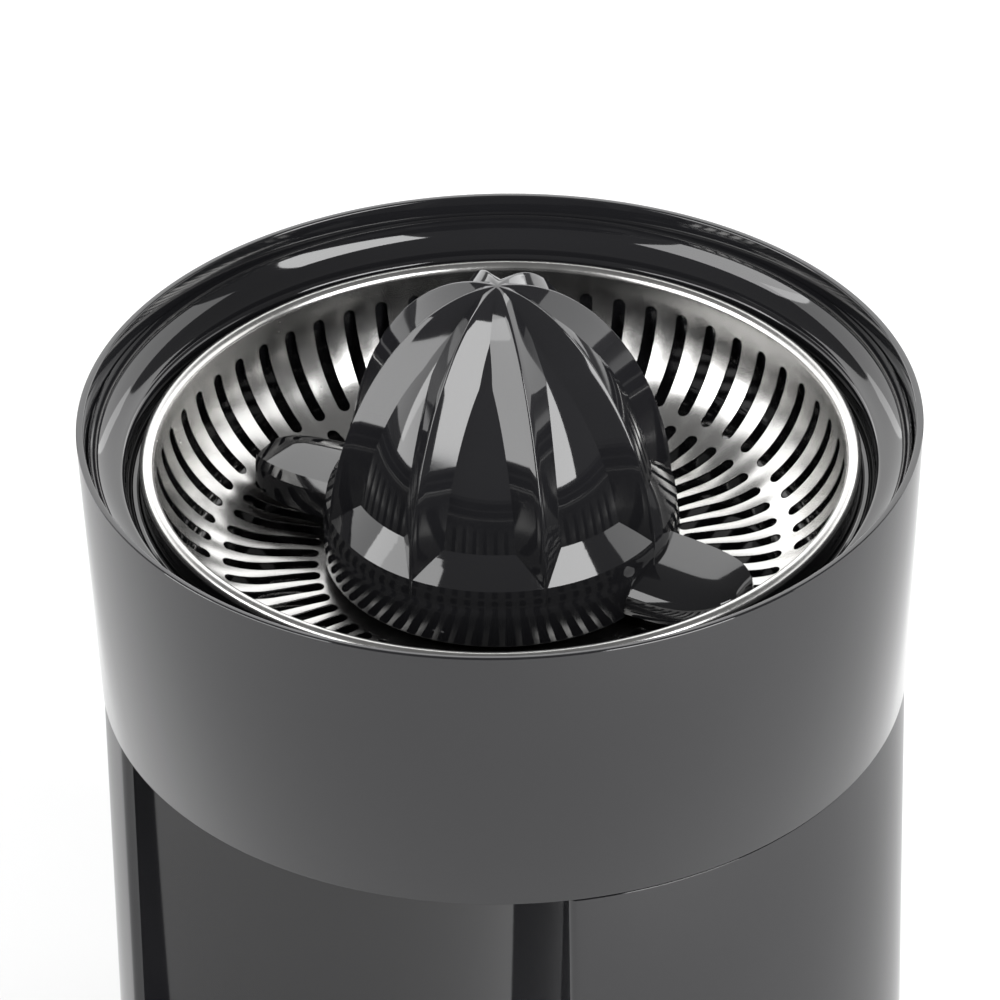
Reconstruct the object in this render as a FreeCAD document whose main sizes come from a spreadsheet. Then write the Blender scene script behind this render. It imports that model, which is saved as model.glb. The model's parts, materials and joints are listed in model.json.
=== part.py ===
# Citrus press juicer: a press-to-start cone over a steel strainer, a lift-off juice collector with a
# pouring spout, and a motor base with a niche for the glass.  Millimetres, +Z up, front towards -Y,
# origin on the surface it stands on, under the cone's axis.
import FreeCAD, Part
import math
import os

import Sketcher

V = FreeCAD.Vector
doc = FreeCAD.newDocument("citrus_juicer")

# ---------------------------------------------------------------- driving dimensions
DIMENSIONS = {
    # outside
    "rim_height": 216.0,
    "rim_radius": 92.5,
    "seam_height": 150.0,
    "seam_radius": 89.5,
    "body_radius": 89.2,
    "foot_height": 2.5,
    "seam_gap": 0.3,
    # mouldings
    "ring_wall": 2.2,
    "bowl_wall": 2.0,
    "shell_wall": 2.5,
    "deck_wall": 3.2,
    "base_wall": 3.5,
    # glass niche in the front of the body
    "niche_radius": 59.8,
    "niche_centre": 89.8,
    "niche_floor": 14.0,
    "dish_margin": 21.8,
    # collector lip, cove, shelf and drip trough
    "lip_width": 1.6,
    "lip_drop": 4.0,
    "cove_radius": 6.4,
    "trough_radius": 2.1,
    "trough_depth": 5.8,
    "shelf_round": 1.2,
    "flange_depth": 5.1,
    "ledge_width": 1.5,
    # strainer
    "strainer_rim_radius": 79.1,
    "strainer_curl": 1.7,
    "strainer_sheet": 0.6,
    "strainer_corner": 24.0,
    "strainer_rim_drop": 9.0,
    "strainer_floor_drop": 37.2,
    "slot_width": 2.0,
    "slot_count": 60,
    "slot_phase": 3.5,
    "outer_slot_top": 15.2,
    "outer_slot_inset": 11.4,
    "inner_slot_inset": 14.0,
    "inner_slot_gap": 2.7,
    # juice bowl under the strainer
    "gutter_radius": 16.0,
    "gutter_drop": 50.0,
    "bowl_centre_rise": 5.0,
    "bowl_lip_width": 1.4,
    "chimney_bore": 10.5,
    "chimney_wall": 2.0,
    "chimney_drop": 24.0,
    "outlet_bore": 6.0,
    "outlet_wall": 1.8,
    "outlet_length": 6.0,
    # cone
    "cone_radius": 38.9,
    "cone_base_drop": 23.2,
    "cone_height": 56.7,
    "rib_count": 8,
    "rib_height": 5.5,
    "rib_half_width": 5.0,
    "cone_wall": 2.2,
    "skirt_radius": 39.3,
    "skirt_length": 11.0,
    "wing_gap": 13.9,
    "wing_rise": 10.0,
    # drive
    "shaft_radius": 4.0,
    "shaft_flat": 3.2,
    "slide_clearance": 0.06,
    "fit_clearance": 0.05,
    "shaft_top_drop": 2.0,
    "press_travel": 2.2,
    "tower_radius": 9.8,
    "tower_drop": 28.0,
    "gear_face": 8.0,
    "gear_step": 10.0,
    "tooth_backlash": 0.3,
    "motor_pinion_teeth": 10,
    "wheel_one_teeth": 54,
    "module_one": 0.8,
    "pinion_two_teeth": 10,
    "wheel_two_teeth": 42,
    "module_two": 1.0,
    "pinion_three_teeth": 11,
    "output_teeth": 36,
    "module_three": 1.25,
    "axle_radius": 2.0,
    "gearbox_drop": 46.0,
    "gearbox_plate": 3.0,
    "gearbox_wall": 2.0,
    # motor
    "motor_radius": 25.0,
    "motor_length": 60.0,
    "motor_wall": 1.5,
    "motor_setback": 46.0,
    "rotor_shaft_radius": 1.6,
    "rotor_radius": 17.0,
    # fastening and electrics
    "post_radius": 5.0,
    "rear_post_x": 66.0,
    "rear_post_y": 40.0,
    "front_post_x": 62.0,
    "front_post_y": 46.0,
    "screw_radius": 1.5,
    "foot_radius": 7.0,
    "gland_bore": 3.2,
    "gland_height": 24.0,
}


class Size:
    """A length that carries both its number and the formula that ties it to the sheet."""

    def __init__(self, number, formula):
        self.number = number
        self.formula = formula

    def __add__(self, other):
        other = as_size(other)
        return Size(self.number + other.number, f"({self.formula} + {other.formula})")

    def __sub__(self, other):
        other = as_size(other)
        return Size(self.number - other.number, f"({self.formula} - {other.formula})")

    def __mul__(self, other):
        other = as_size(other)
        return Size(self.number * other.number, f"({self.formula} * {other.formula})")

    def __truediv__(self, other):
        other = as_size(other)
        return Size(self.number / other.number, f"({self.formula} / {other.formula})")

    def __radd__(self, other):
        return as_size(other) + self

    def __rsub__(self, other):
        return as_size(other) - self

    def __rmul__(self, other):
        return self * other

    def __neg__(self):
        return Size(-self.number, f"(0 - {self.formula})")

    def root(self):
        return Size(math.sqrt(self.number), f"sqrt({self.formula})")


def as_size(value):
    if isinstance(value, Size):
        return value
    return Size(float(value), f"({float(value)!r})")


def make_sheet():
    sheet = doc.addObject("Spreadsheet::Sheet", "Sizes")
    for row, (alias, number) in enumerate(DIMENSIONS.items(), start=1):
        sheet.set(f"A{row}", alias)
        sheet.set(f"B{row}", str(number))
        sheet.setAlias(f"B{row}", alias)
    doc.recompute()
    return sheet


sheet = make_sheet()


def size(alias):
    return Size(float(getattr(sheet, alias)), f"Sizes.{alias}")


# ---------------------------------------------------------------- building helpers
def bind(item, name, value):
    """Sets a property and ties it to the sheet."""
    value = as_size(value)
    item.setExpression(name, value.formula)


def place(item, x=0, y=0, z=0):
    for axis, value in zip("xyz", (x, y, z)):
        if isinstance(value, Size) or value:
            bind(item, f"Placement.Base.{axis}", value)


def turn(item, axis, degrees):
    item.Placement = FreeCAD.Placement(item.Placement.Base, FreeCAD.Rotation(axis, degrees))


def cylinder(label, radius, height, x=0, y=0, z=0):
    item = doc.addObject("Part::Cylinder", label)
    bind(item, "Radius", radius)
    bind(item, "Height", height)
    place(item, x, y, z)
    return item


def lying_cylinder(label, radius, length, axis, x=0, y=0, z=0):
    """A cylinder along +X or +Y, from the given point."""
    item = cylinder(label, radius, length)
    turn(item, V(0, 1, 0) if axis == "x" else V(1, 0, 0), 90 if axis == "x" else -90)
    place(item, x, y, z)
    return item


def block(label, length, width, height, x=0, y=0, z=0):
    """A box centred on x and y, standing on z."""
    item = doc.addObject("Part::Box", label)
    bind(item, "Length", length)
    bind(item, "Width", width)
    bind(item, "Height", height)
    place(item, as_size(x) - as_size(length) / 2, as_size(y) - as_size(width) / 2, z)
    return item


def fuse(label, pieces):
    item = doc.addObject("Part::MultiFuse", label)
    item.Shapes = pieces
    return item


def cut(label, base, tool):
    item = doc.addObject("Part::Cut", label)
    item.Base = base
    item.Tool = tool
    return item


def common(label, first, second):
    item = doc.addObject("Part::MultiCommon", label)
    item.Shapes = [first, second]
    return item


def group(label, pieces):
    item = doc.addObject("Part::Compound", label)
    item.Links = pieces
    return item


def origin_item(body, role):
    return next(item for item in body.Origin.OriginFeatures if item.Role == role)


def outline(body, label, corners, plane="XZ_Plane", offset=None):
    """A closed sketch through corners (x, y) or (x, y, radius).

    A third number makes the edge that leaves the corner an arc: its centre is on the left of the
    way along the outline where the radius is positive, and on the right where it is negative.
    """
    sketch = body.newObject("Sketcher::SketchObject", label)
    sketch.AttachmentSupport = [(origin_item(body, plane), "")]
    sketch.MapMode = "FlatFace"
    if offset is not None:
        bind(sketch, "AttachmentOffset.Base.z", offset)
    corners = [tuple(as_size(part) for part in corner) for corner in corners]
    ends = []
    for corner, following in zip(corners, corners[1:] + corners[:1]):
        start = V(corner[0].number, corner[1].number, 0)
        stop = V(following[0].number, following[1].number, 0)
        if len(corner) == 2:
            sketch.addGeometry(Part.LineSegment(start, stop), False)
            ends.append((1, 2))
            continue
        radius = corner[2].number
        half = (stop - start) / 2
        side = V(-half.y, half.x, 0).normalize()
        if radius < 0:
            side = -side
        centre = start + half + side * math.sqrt(max(radius ** 2 - half.Length ** 2, 0))
        first, last = (start, stop) if radius > 0 else (stop, start)
        angle_first = math.atan2(first.y - centre.y, first.x - centre.x)
        angle_last = math.atan2(last.y - centre.y, last.x - centre.x)
        if angle_last < angle_first:
            angle_last += 2 * math.pi
        circle = Part.Circle(centre, V(0, 0, 1), abs(radius))
        sketch.addGeometry(Part.ArcOfCircle(circle, angle_first, angle_last), False)
        ends.append((1, 2) if radius > 0 else (2, 1))
    for index, corner in enumerate(corners):
        following = (index + 1) % len(corners)
        link = ("Coincident", index, ends[index][1], following, ends[following][0])
        sketch.addConstraint(Sketcher.Constraint(*link))
        for kind, value in (("DistanceX", corner[0]), ("DistanceY", corner[1])):
            row = sketch.addConstraint(
                Sketcher.Constraint(kind, -1, 1, index, ends[index][0], value.number))
            sketch.setExpression(f"Constraints[{row}]", value.formula)
        if len(corner) == 3:
            radius = corner[2] if corner[2].number > 0 else -corner[2]
            row = sketch.addConstraint(Sketcher.Constraint("Radius", index, radius.number))
            sketch.setExpression(f"Constraints[{row}]", radius.formula)
    return sketch


def circles(body, label, rounds, plane="XY_Plane", offset=None):
    """A sketch of circles, each (x, y, radius)."""
    sketch = body.newObject("Sketcher::SketchObject", label)
    sketch.AttachmentSupport = [(origin_item(body, plane), "")]
    sketch.MapMode = "FlatFace"
    if offset is not None:
        bind(sketch, "AttachmentOffset.Base.z", offset)
    for index, spec in enumerate(rounds):
        x, y, radius = (as_size(part) for part in spec)
        sketch.addGeometry(Part.Circle(V(x.number, y.number, 0), V(0, 0, 1), radius.number), False)
        for kind, value in (("DistanceX", x), ("DistanceY", y)):
            row = sketch.addConstraint(Sketcher.Constraint(kind, -1, 1, index, 3, value.number))
            sketch.setExpression(f"Constraints[{row}]", value.formula)
        row = sketch.addConstraint(Sketcher.Constraint("Radius", index, radius.number))
        sketch.setExpression(f"Constraints[{row}]", radius.formula)
    return sketch


def new_body(label):
    return doc.addObject("PartDesign::Body", label)


def revolve(body, sketch):
    feature = body.newObject("PartDesign::Revolution", body.Label + "_turned")
    feature.Profile = sketch
    feature.ReferenceAxis = (sketch, ["V_Axis"])
    feature.Angle = 360
    return feature


def pad(body, sketch, length, symmetric=False):
    feature = body.newObject("PartDesign::Pad", body.Label + "_pad")
    feature.Profile = sketch
    bind(feature, "Length", length)
    if symmetric:
        feature.SideType = "Symmetric"
    return feature


def pocket(body, sketch, length, symmetric=False, reverse=False):
    """Cuts the sketch out of the body, and makes sure that something was cut."""
    doc.recompute()
    before = body.Shape.Volume
    feature = body.newObject("PartDesign::Pocket", body.Label + "_pocket")
    feature.Profile = sketch
    bind(feature, "Length", length)
    feature.Reversed = reverse
    if symmetric:
        feature.SideType = "Symmetric"
    doc.recompute()
    if not body.Shape.Volume < before:
        raise ValueError(f"{feature.Label} removes nothing")
    return feature


def polar(body, features, count, degrees=360):
    pattern = body.newObject("PartDesign::PolarPattern", body.Label + "_round")
    pattern.Originals = features
    pattern.Axis = (origin_item(body, "Z_Axis"), [""])
    pattern.Angle = degrees
    bind(pattern, "Occurrences", count)
    body.Tip = pattern
    return pattern


def turned_piece(label, corners):
    """A body of revolution about the vertical axis from corners (radius, height)."""
    body = new_body(label)
    revolve(body, outline(body, label + "_profile", corners))
    return body


def ring(label, inner, outer, bottom, height, x=0, y=0):
    """A plain ring standing on bottom."""
    outside = cylinder(label + "_outside", outer, height, x, y, bottom)
    hole = cylinder(label + "_hole", inner, as_size(height) + 2, x, y, as_size(bottom) - 1)
    return cut(label, outside, hole)


# ---------------------------------------------------------------- shared places
rim = size("rim_height")
seam = size("seam_height")
foot = size("foot_height")
shell_top = seam - size("seam_gap")
shell_bottom = foot + size("base_wall")
inner_radius = size("body_radius") - size("shell_wall")
inner_niche = size("niche_radius") + size("shell_wall")
niche_y = -size("niche_centre")
deck_bottom = shell_top - size("deck_wall")

strainer_wall = size("strainer_rim_radius") - 2 * size("strainer_curl")
strainer_floor = rim - size("strainer_floor_drop")
strainer_corner_z = strainer_floor + size("strainer_corner")
strainer_collar = size("chimney_bore") + size("chimney_wall") + 0.8

bowl_lip = size("strainer_rim_radius") - size("strainer_curl")
bowl_inside = bowl_lip - size("bowl_lip_width") / 2
outlet_y = size("gutter_radius") - bowl_inside
gutter_bottom = rim - size("gutter_drop")
outlet_end = gutter_bottom - size("bowl_wall") - size("outlet_length")

cone_base = rim - size("cone_base_drop")
skirt_bottom = cone_base - size("skirt_length")
shaft_top = rim - size("shaft_top_drop")
tower_top = rim - size("tower_drop")

gearbox_floor = seam - size("gearbox_drop")
layer_one = gearbox_floor + size("gearbox_plate") + 1.5
layer_two = layer_one + size("gear_step")
layer_three = layer_two + size("gear_step")
gearbox_top = layer_three + size("gear_step") + 1.0


def pitch_distance(module, first, second):
    return size(module) * (size(first) + size(second)) / 2


def meeting_point(ax, ay, reach_a, bx, by, reach_b):
    """The point at two given distances from two centres, on the left of the way from a to b."""
    gap_x = bx - ax
    gap_y = by - ay
    gap = (gap_x * gap_x + gap_y * gap_y).root()
    along = (reach_a * reach_a - reach_b * reach_b + gap * gap) / (2 * gap)
    aside = (reach_a * reach_a - along * along).root()
    x = ax + (along * gap_x - aside * gap_y) / gap
    y = ay + (along * gap_y + aside * gap_x) / gap
    return x, y


motor_x = as_size(0)
motor_y = size("motor_setback")
reach_output = pitch_distance("module_three", "pinion_three_teeth", "output_teeth")
reach_two = pitch_distance("module_two", "pinion_two_teeth", "wheel_two_teeth")
reach_one = pitch_distance("module_one", "motor_pinion_teeth", "wheel_one_teeth")
TWO_BEARING = math.radians(152.3)
two_x = reach_output * math.cos(TWO_BEARING)
two_y = reach_output * math.sin(TWO_BEARING)
one_x, one_y = meeting_point(two_x, two_y, reach_two, motor_x, motor_y, reach_one)


# ---------------------------------------------------------------- juice collector
seat_radius = size("rim_radius") - size("lip_width") - 0.6
cove_top = rim - size("lip_drop") - 0.4
ledge_top = cove_top - size("flange_depth")
cove_low = cove_top - size("cove_radius")


def ring_outside(height):
    """Outer radius of the drafted collector ring at a height."""
    rise = (height - seam) / (rim - seam)
    return size("seam_radius") + (size("rim_radius") - size("seam_radius")) * rise


def make_collector_ring():
    ledge = size("ledge_width")
    below = ledge_top - ledge - 2
    return turned_piece("collector_ring", [
        (size("rim_radius"), rim),
        (size("rim_radius") - size("lip_width"), rim),
        (seat_radius, rim - size("lip_drop")),
        (seat_radius, ledge_top),
        (seat_radius - ledge, ledge_top),
        (seat_radius - ledge, ledge_top - ledge),
        (ring_outside(below) - size("ring_wall"), below),
        (size("seam_radius") - size("ring_wall"), seam),
        (size("seam_radius"), seam),
    ])


pivot_y = outlet_y + 11.6
pivot_z = outlet_end + 1.5
pin_radius = as_size(1.5)
spout_half = size("outlet_bore") + size("outlet_wall") + 2.8
lug_inside = spout_half + 0.6
lug_outside = lug_inside + 2.4


def make_juice_bowl():
    """Bowl with the flange that shows as cove, shelf and trough, a chimney and an outlet."""
    skin = size("bowl_wall") - 0.2
    flange = seat_radius - 0.3
    centre = flange - size("cove_radius")
    trough_inside = bowl_lip + size("bowl_lip_width") / 2
    trough_round = size("trough_radius")
    trough_outside = trough_inside + 2 * trough_round
    trough_low = cove_low - size("trough_depth")
    lip_top = rim - size("strainer_rim_drop") - size("strainer_curl") + 0.4
    gutter = size("gutter_radius")
    gutter_x = bowl_inside - gutter
    wall = size("bowl_wall")
    bore = size("chimney_bore")
    chimney = bore + size("chimney_wall")
    middle = gutter_bottom + size("bowl_centre_rise")
    body = turned_piece("juice_bowl", [
        (flange, cove_top, -size("cove_radius")),
        (centre, cove_low),
        (trough_outside + size("shelf_round"), cove_low, size("shelf_round")),
        (trough_outside, cove_low - size("shelf_round")),
        (trough_outside, trough_low + trough_round, -trough_round),
        (trough_outside - trough_round, trough_low, -trough_round),
        (trough_inside, trough_low + trough_round),
        (trough_inside, lip_top),
        (bowl_inside, lip_top),
        (bowl_inside, gutter_bottom + gutter, -gutter),
        (gutter_x, gutter_bottom),
        (chimney, middle),
        (chimney, rim - size("chimney_drop")),
        (bore, rim - size("chimney_drop")),
        (bore, middle - wall),
        (gutter_x, gutter_bottom - wall, gutter + wall),
        (gutter_x + gutter + wall, gutter_bottom + gutter),
        (gutter_x + gutter + wall, trough_low - skin),
        (trough_outside + skin, trough_low - skin),
        (trough_outside + skin, cove_low - skin),
        (seat_radius - size("ledge_width") - 0.3, cove_low - 0.2),
        (seat_radius - size("ledge_width") - 0.3, ledge_top),
        (flange, ledge_top),
    ])
    outlet = size("outlet_bore")
    nozzle = circles(body, "outlet_tube", [(0, outlet_y, outlet + size("outlet_wall"))],
                     offset=outlet_end)
    pad(body, nozzle, gutter_bottom - outlet_end - 0.5)
    above = gutter_bottom + 4
    pocket(body, circles(body, "outlet_hole", [(0, outlet_y, outlet)], offset=above),
           above - outlet_end + 1)
    lug_back = pivot_y + 3
    lug_front = pivot_y - 3
    lug_low = pivot_z - 2.5
    under = gutter_bottom + (gutter_x + pivot_y) / 8
    lugs = outline(body, "spout_lugs", [(lug_front, lug_low), (lug_back, lug_low),
                                        (lug_back, under), (lug_front, under)], "YZ_Plane")
    pad(body, lugs, 2 * lug_outside, symmetric=True)
    gap_top = gutter_bottom - wall - 0.4
    gap = outline(body, "spout_gap", [(lug_front - 1, lug_low - 1), (lug_back + 1, lug_low - 1),
                                      (lug_back + 1, gap_top), (lug_front - 1, gap_top)], "YZ_Plane")
    pocket(body, gap, 2 * lug_inside, symmetric=True)
    eye = circles(body, "pin_hole", [(pivot_y, pivot_z, pin_radius + size("fit_clearance"))], "YZ_Plane")
    pocket(body, eye, 2 * lug_outside + 2, symmetric=True)
    return body


def make_spout():
    """An open chute hung on a pin behind the outlet; tipped up, it holds back the drips."""
    wall = as_size(2.0)
    back = pivot_y + 3.5
    top = pivot_z + 3.0
    lip_y = outlet_y - 19.4
    lip_z = pivot_z - 13.5
    body = new_body("spout")
    side = outline(body, "spout_side", [
        (back, top), (pivot_y - 3, top), (outlet_y - 9.4, pivot_z - 4.5),
        (lip_y, lip_z), (lip_y + 1.5, lip_z - 3.7),
        (outlet_y + 0.6, pivot_z - 12), (back, pivot_z - 6)], "YZ_Plane")
    pad(body, side, 2 * spout_half, symmetric=True)
    channel = outline(body, "spout_channel", [
        (back - wall, top + 8), (lip_y - 10, top + 8), (lip_y - 10, lip_z - 5.4),
        (outlet_y + 0.6, pivot_z - 12 + wall), (back - wall, pivot_z - 6 + wall)], "YZ_Plane")
    pocket(body, channel, 2 * (spout_half - wall), symmetric=True)
    eye = circles(body, "spout_eye", [(pivot_y, pivot_z, pin_radius + size("fit_clearance"))], "YZ_Plane")
    pocket(body, eye, 2 * spout_half + 2, symmetric=True)
    return body


def make_spout_pin():
    return lying_cylinder("spout_pin", pin_radius, 2 * lug_outside, "x", -lug_outside, pivot_y, pivot_z)


# ---------------------------------------------------------------- strainer
def make_strainer_basket():
    """A deep-drawn steel dish with a curled rim and two rows of radial slots."""
    curl = size("strainer_curl")
    sheet_gauge = size("strainer_sheet")
    curl_x = size("strainer_rim_radius") - curl
    curl_z = rim - size("strainer_rim_drop") - curl
    corner = size("strainer_corner")
    floor_edge = strainer_wall - corner
    collar_top = rim - size("chimney_drop") + 2
    body = turned_piece("strainer_basket", [
        (curl_x + curl, curl_z, curl),
        (curl_x, curl_z + curl, curl),
        (strainer_wall, curl_z),
        (strainer_wall, strainer_corner_z, -corner),
        (floor_edge, strainer_floor),
        (strainer_collar + sheet_gauge, strainer_floor),
        (strainer_collar + sheet_gauge, collar_top),
        (strainer_collar, collar_top),
        (strainer_collar, strainer_floor - sheet_gauge),
        (floor_edge, strainer_floor - sheet_gauge, corner + sheet_gauge),
        (strainer_wall + sheet_gauge, strainer_corner_z),
        (strainer_wall + sheet_gauge, curl_z, sheet_gauge - curl),
        (curl_x, curl_z + curl - sheet_gauge, sheet_gauge - curl),
        (curl_x + curl - sheet_gauge, curl_z),
    ])
    start = strainer_wall - size("outer_slot_inset")
    slot_top = rim - size("outer_slot_top")
    below = strainer_floor - 3
    outer = outline(body, "outer_slot", [
        (start, below), (strainer_wall + 3, below), (strainer_wall + 3, slot_top),
        (strainer_wall - 6, slot_top), (start, strainer_floor + 9)])
    outer_cut = pocket(body, outer, size("slot_width"), symmetric=True)
    inner_start = size("skirt_radius") + size("inner_slot_gap")
    inner_end = strainer_wall - size("inner_slot_inset")
    above = strainer_floor + 5
    inner = outline(body, "inner_slot", [
        (inner_start, below), (inner_end, below), (inner_end, above), (inner_start, above)])
    inner_cut = pocket(body, inner, size("slot_width"), symmetric=True)
    polar(body, [outer_cut, inner_cut], size("slot_count"))
    turn(body, V(0, 0, 1), size("slot_phase").number)
    return body


# ---------------------------------------------------------------- reamer
RIDGE_POWER = 1.74
BODY_STATIONS = (0.16, 0.3, 0.45, 0.6, 0.72, 0.82, 0.9, 0.95)
RIB_STATIONS = (0.02, 0.16, 0.32, 0.48, 0.62, 0.74, 0.84, 0.92, 0.97, 0.995)
hub_radius = size("shaft_radius") + 3.5
hub_bottom = shaft_top - 15.5
cone_ceiling = shaft_top + 8


def ridge(station):
    """Radius and height of the ribs' ridge; station runs from 0 at the base to 1 at the tip."""
    radius = size("cone_radius") * math.sqrt(1 - station ** RIDGE_POWER)
    return radius, cone_base + size("cone_height") * station


def make_reamer_cone():
    """A hollow cone with eight sharp ribs, a smooth skirt and two pulp wings."""
    wall = size("cone_wall")
    skirt = size("skirt_radius")
    tip = cone_base + size("cone_height")
    boss = hub_radius + 0.1 + wall
    outside = [(skirt, skirt_bottom), (skirt, skirt_bottom + 6), (size("cone_radius"), cone_base),
               (size("cone_radius") - 0.2, cone_base + 1.5), (size("cone_radius") - 1.0, cone_base + 4.2)]
    for station in BODY_STATIONS:
        radius, height = ridge(station)
        outside.append((radius - size("rib_height"), height))
    outside += [(3, tip - 0.7), (0, tip)]
    _, low = ridge(BODY_STATIONS[0])
    inner_low = ridge(BODY_STATIONS[0])[0] - size("rib_height") - wall
    inner_high = ridge(0.55)[0] - size("rib_height") - wall
    inside = [(0, shaft_top + 5), (hub_radius + 0.1, shaft_top + 5), (hub_radius + 0.1, hub_bottom),
              (boss, hub_bottom), (boss, cone_ceiling), (inner_high, cone_ceiling),
              (inner_low, low - 1), (skirt - wall, cone_base - 2), (skirt - wall, skirt_bottom)]
    body = turned_piece("reamer_cone", outside + inside)
    sections = []
    for station in RIB_STATIONS:
        radius, height = ridge(station)
        grow = min(1, radius.number / 16)
        depth = size("rib_height") * grow * 1.36
        half = size("rib_half_width") * grow * 1.36
        sections.append(outline(body, "rib_section", [
            (radius, 0), (radius - depth, half), (radius - depth, -half)], "XY_Plane", height))
    rib = body.newObject("PartDesign::AdditiveLoft", "rib")
    rib.Profile = sections[0]
    rib.Sections = sections[1:]
    polar(body, [rib], size("rib_count"))
    wing_root = skirt - wall * 2
    reach = strainer_wall - size("wing_gap")
    root_low = skirt_bottom + 1.4
    root_high = root_low + size("wing_rise")
    root = outline(body, "wing_root", [
        (5.0, root_high), (-4.0, root_high - 2.5), (-11.5, root_low), (7.0, root_low)],
        "YZ_Plane", wing_root)
    point = outline(body, "wing_tip", [
        (1.5, root_high - 3), (0.2, root_high - 3.5), (-1.5, root_low + 3.8), (2.6, root_low + 3.8)],
        "YZ_Plane", reach)
    wing = body.newObject("PartDesign::AdditiveLoft", "wing")
    wing.Profile = root
    wing.Sections = [point]
    polar(body, [wing], 2)
    return body


def double_flat(label, radius, flat, bottom, height):
    """A round bar with two flats across x."""
    bar = cylinder(label + "_bar", radius, height, z=bottom)
    faces = block(label + "_flats", 2 * flat, 2 * radius + 2, height, z=bottom)
    return common(label, bar, faces)


def make_reamer_hub():
    """The metal insert that the shaft drives; its socket is open below."""
    slug = cylinder("hub_slug", hub_radius, shaft_top + 4.8 - hub_bottom, z=hub_bottom)
    clearance = size("slide_clearance")
    socket = double_flat("hub_socket", size("shaft_radius") + clearance, size("shaft_flat") + clearance,
                         hub_bottom - 1, shaft_top + 0.2 - hub_bottom + 1)
    return cut("reamer_hub", slug, socket)


# ---------------------------------------------------------------- drive
shaft_bottom = gearbox_floor - 5
collar_z = tower_top - 24.5
gear_hub_radius = size("shaft_radius") + 3
gear_hub_top = gearbox_top + size("gearbox_plate") + 1


def make_drive_shaft():
    return double_flat("drive_shaft", size("shaft_radius"), size("shaft_flat"),
                       shaft_bottom, shaft_top - shaft_bottom)


def make_spring_collar():
    return ring("spring_collar", size("shaft_radius") + size("fit_clearance"), gear_hub_radius,
                collar_z, 1.5)


def make_stop_clip():
    return ring("stop_clip", size("shaft_radius") + size("fit_clearance"), size("shaft_radius") + 2.5,
                gearbox_floor - 1.4, 1.1)


def make_return_spring():
    """A compression spring between the output gear's hub and the shaft's collar."""
    wire = as_size(0.55)
    body = new_body("return_spring")
    start = gear_hub_top + wire + 0.1
    length = collar_z - wire - 0.1 - start
    section = circles(body, "wire_section", [(gear_hub_radius - 0.9, start, wire)], "XZ_Plane")
    coil = body.newObject("PartDesign::AdditiveHelix", "coil")
    coil.Profile = section
    coil.ReferenceAxis = (section, ["V_Axis"])
    coil.Mode = "height-turns-angle"
    bind(coil, "Height", length)
    coil.Turns = 6
    return body


def gear_outline(module, teeth, backlash):
    """A closed involute outline with a 20 degree pressure angle, centred on the origin."""
    pressure = math.radians(20)
    pitch = module * teeth / 2
    base = pitch * math.cos(pressure)
    tip = pitch + module
    root = pitch - 1.2 * module
    involute_at_pitch = math.tan(pressure) - pressure
    half_tooth = math.pi / (2 * teeth) - backlash / (2 * pitch) + involute_at_pitch
    flank = []
    for step in range(6):
        radius = max(base, root) + (tip - max(base, root)) * step / 5
        roll = math.sqrt(max((radius / base) ** 2 - 1, 0))
        flank.append((radius, half_tooth - (roll - math.atan(roll))))
    flank.insert(0, (root, flank[0][1]))
    edges = []
    for tooth in range(teeth):
        middle = 2 * math.pi * tooth / teeth
        left = [polar_point(radius, middle + angle) for radius, angle in flank]
        right = [polar_point(radius, middle - angle) for radius, angle in flank]
        following = polar_point(root, middle + 2 * math.pi / teeth - flank[0][1])
        edges.append(Part.makePolygon(right))
        edges.append(Part.Arc(right[-1], polar_point(tip, middle), left[-1]).toShape())
        edges.append(Part.makePolygon(left[::-1]))
        edges.append(Part.Arc(left[0], polar_point(root, middle + math.pi / teeth), following).toShape())
    return Part.Wire([edge for shape in edges for edge in shape.Edges])


def polar_point(radius, angle):
    return V(radius * math.cos(angle), radius * math.sin(angle), 0)


def gear_solid(module_name, teeth_name, bottom, turned):
    """A spur gear on the z axis; turned is the angle of its first tooth in degrees."""
    module = size(module_name).number
    teeth = int(size(teeth_name).number)
    face = Part.Face(gear_outline(module, teeth, size("tooth_backlash").number))
    solid = face.extrude(V(0, 0, size("gear_face").number))
    solid.rotate(V(0, 0, 0), V(0, 0, 1), turned)
    solid.translate(V(0, 0, bottom.number))
    return solid


def round_solid(radius, bottom, top):
    return Part.makeCylinder(as_size(radius).number, (top - bottom).number, V(0, 0, bottom.number))


def feature(label, shape, x=0, y=0):
    """Stores a shape made with Part's own functions, then places it."""
    item = doc.addObject("Part::Feature", label)
    item.Shape = shape
    item.Placement = FreeCAD.Placement(V(as_size(x).number, as_size(y).number, 0), FreeCAD.Rotation())
    return item


def bearing(from_x, from_y, to_x, to_y):
    """Direction from one axis to another, in degrees."""
    rise = as_size(to_y).number - as_size(from_y).number
    run = as_size(to_x).number - as_size(from_x).number
    return math.degrees(math.atan2(rise, run))


def meshing_turn(direction, teeth_name, driver_turn, driver_direction, driver_teeth_name):
    """First-tooth angle that puts a tooth space of the driven gear on the driver's tooth.

    The driver's tooth phase at the contact is carried across and shifted by half a pitch.
    """
    teeth = size(teeth_name).number
    driver_teeth = size(driver_teeth_name).number
    phase = (driver_direction - driver_turn) * driver_teeth / 360
    return direction + (phase + 0.5) * 360 / teeth


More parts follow.
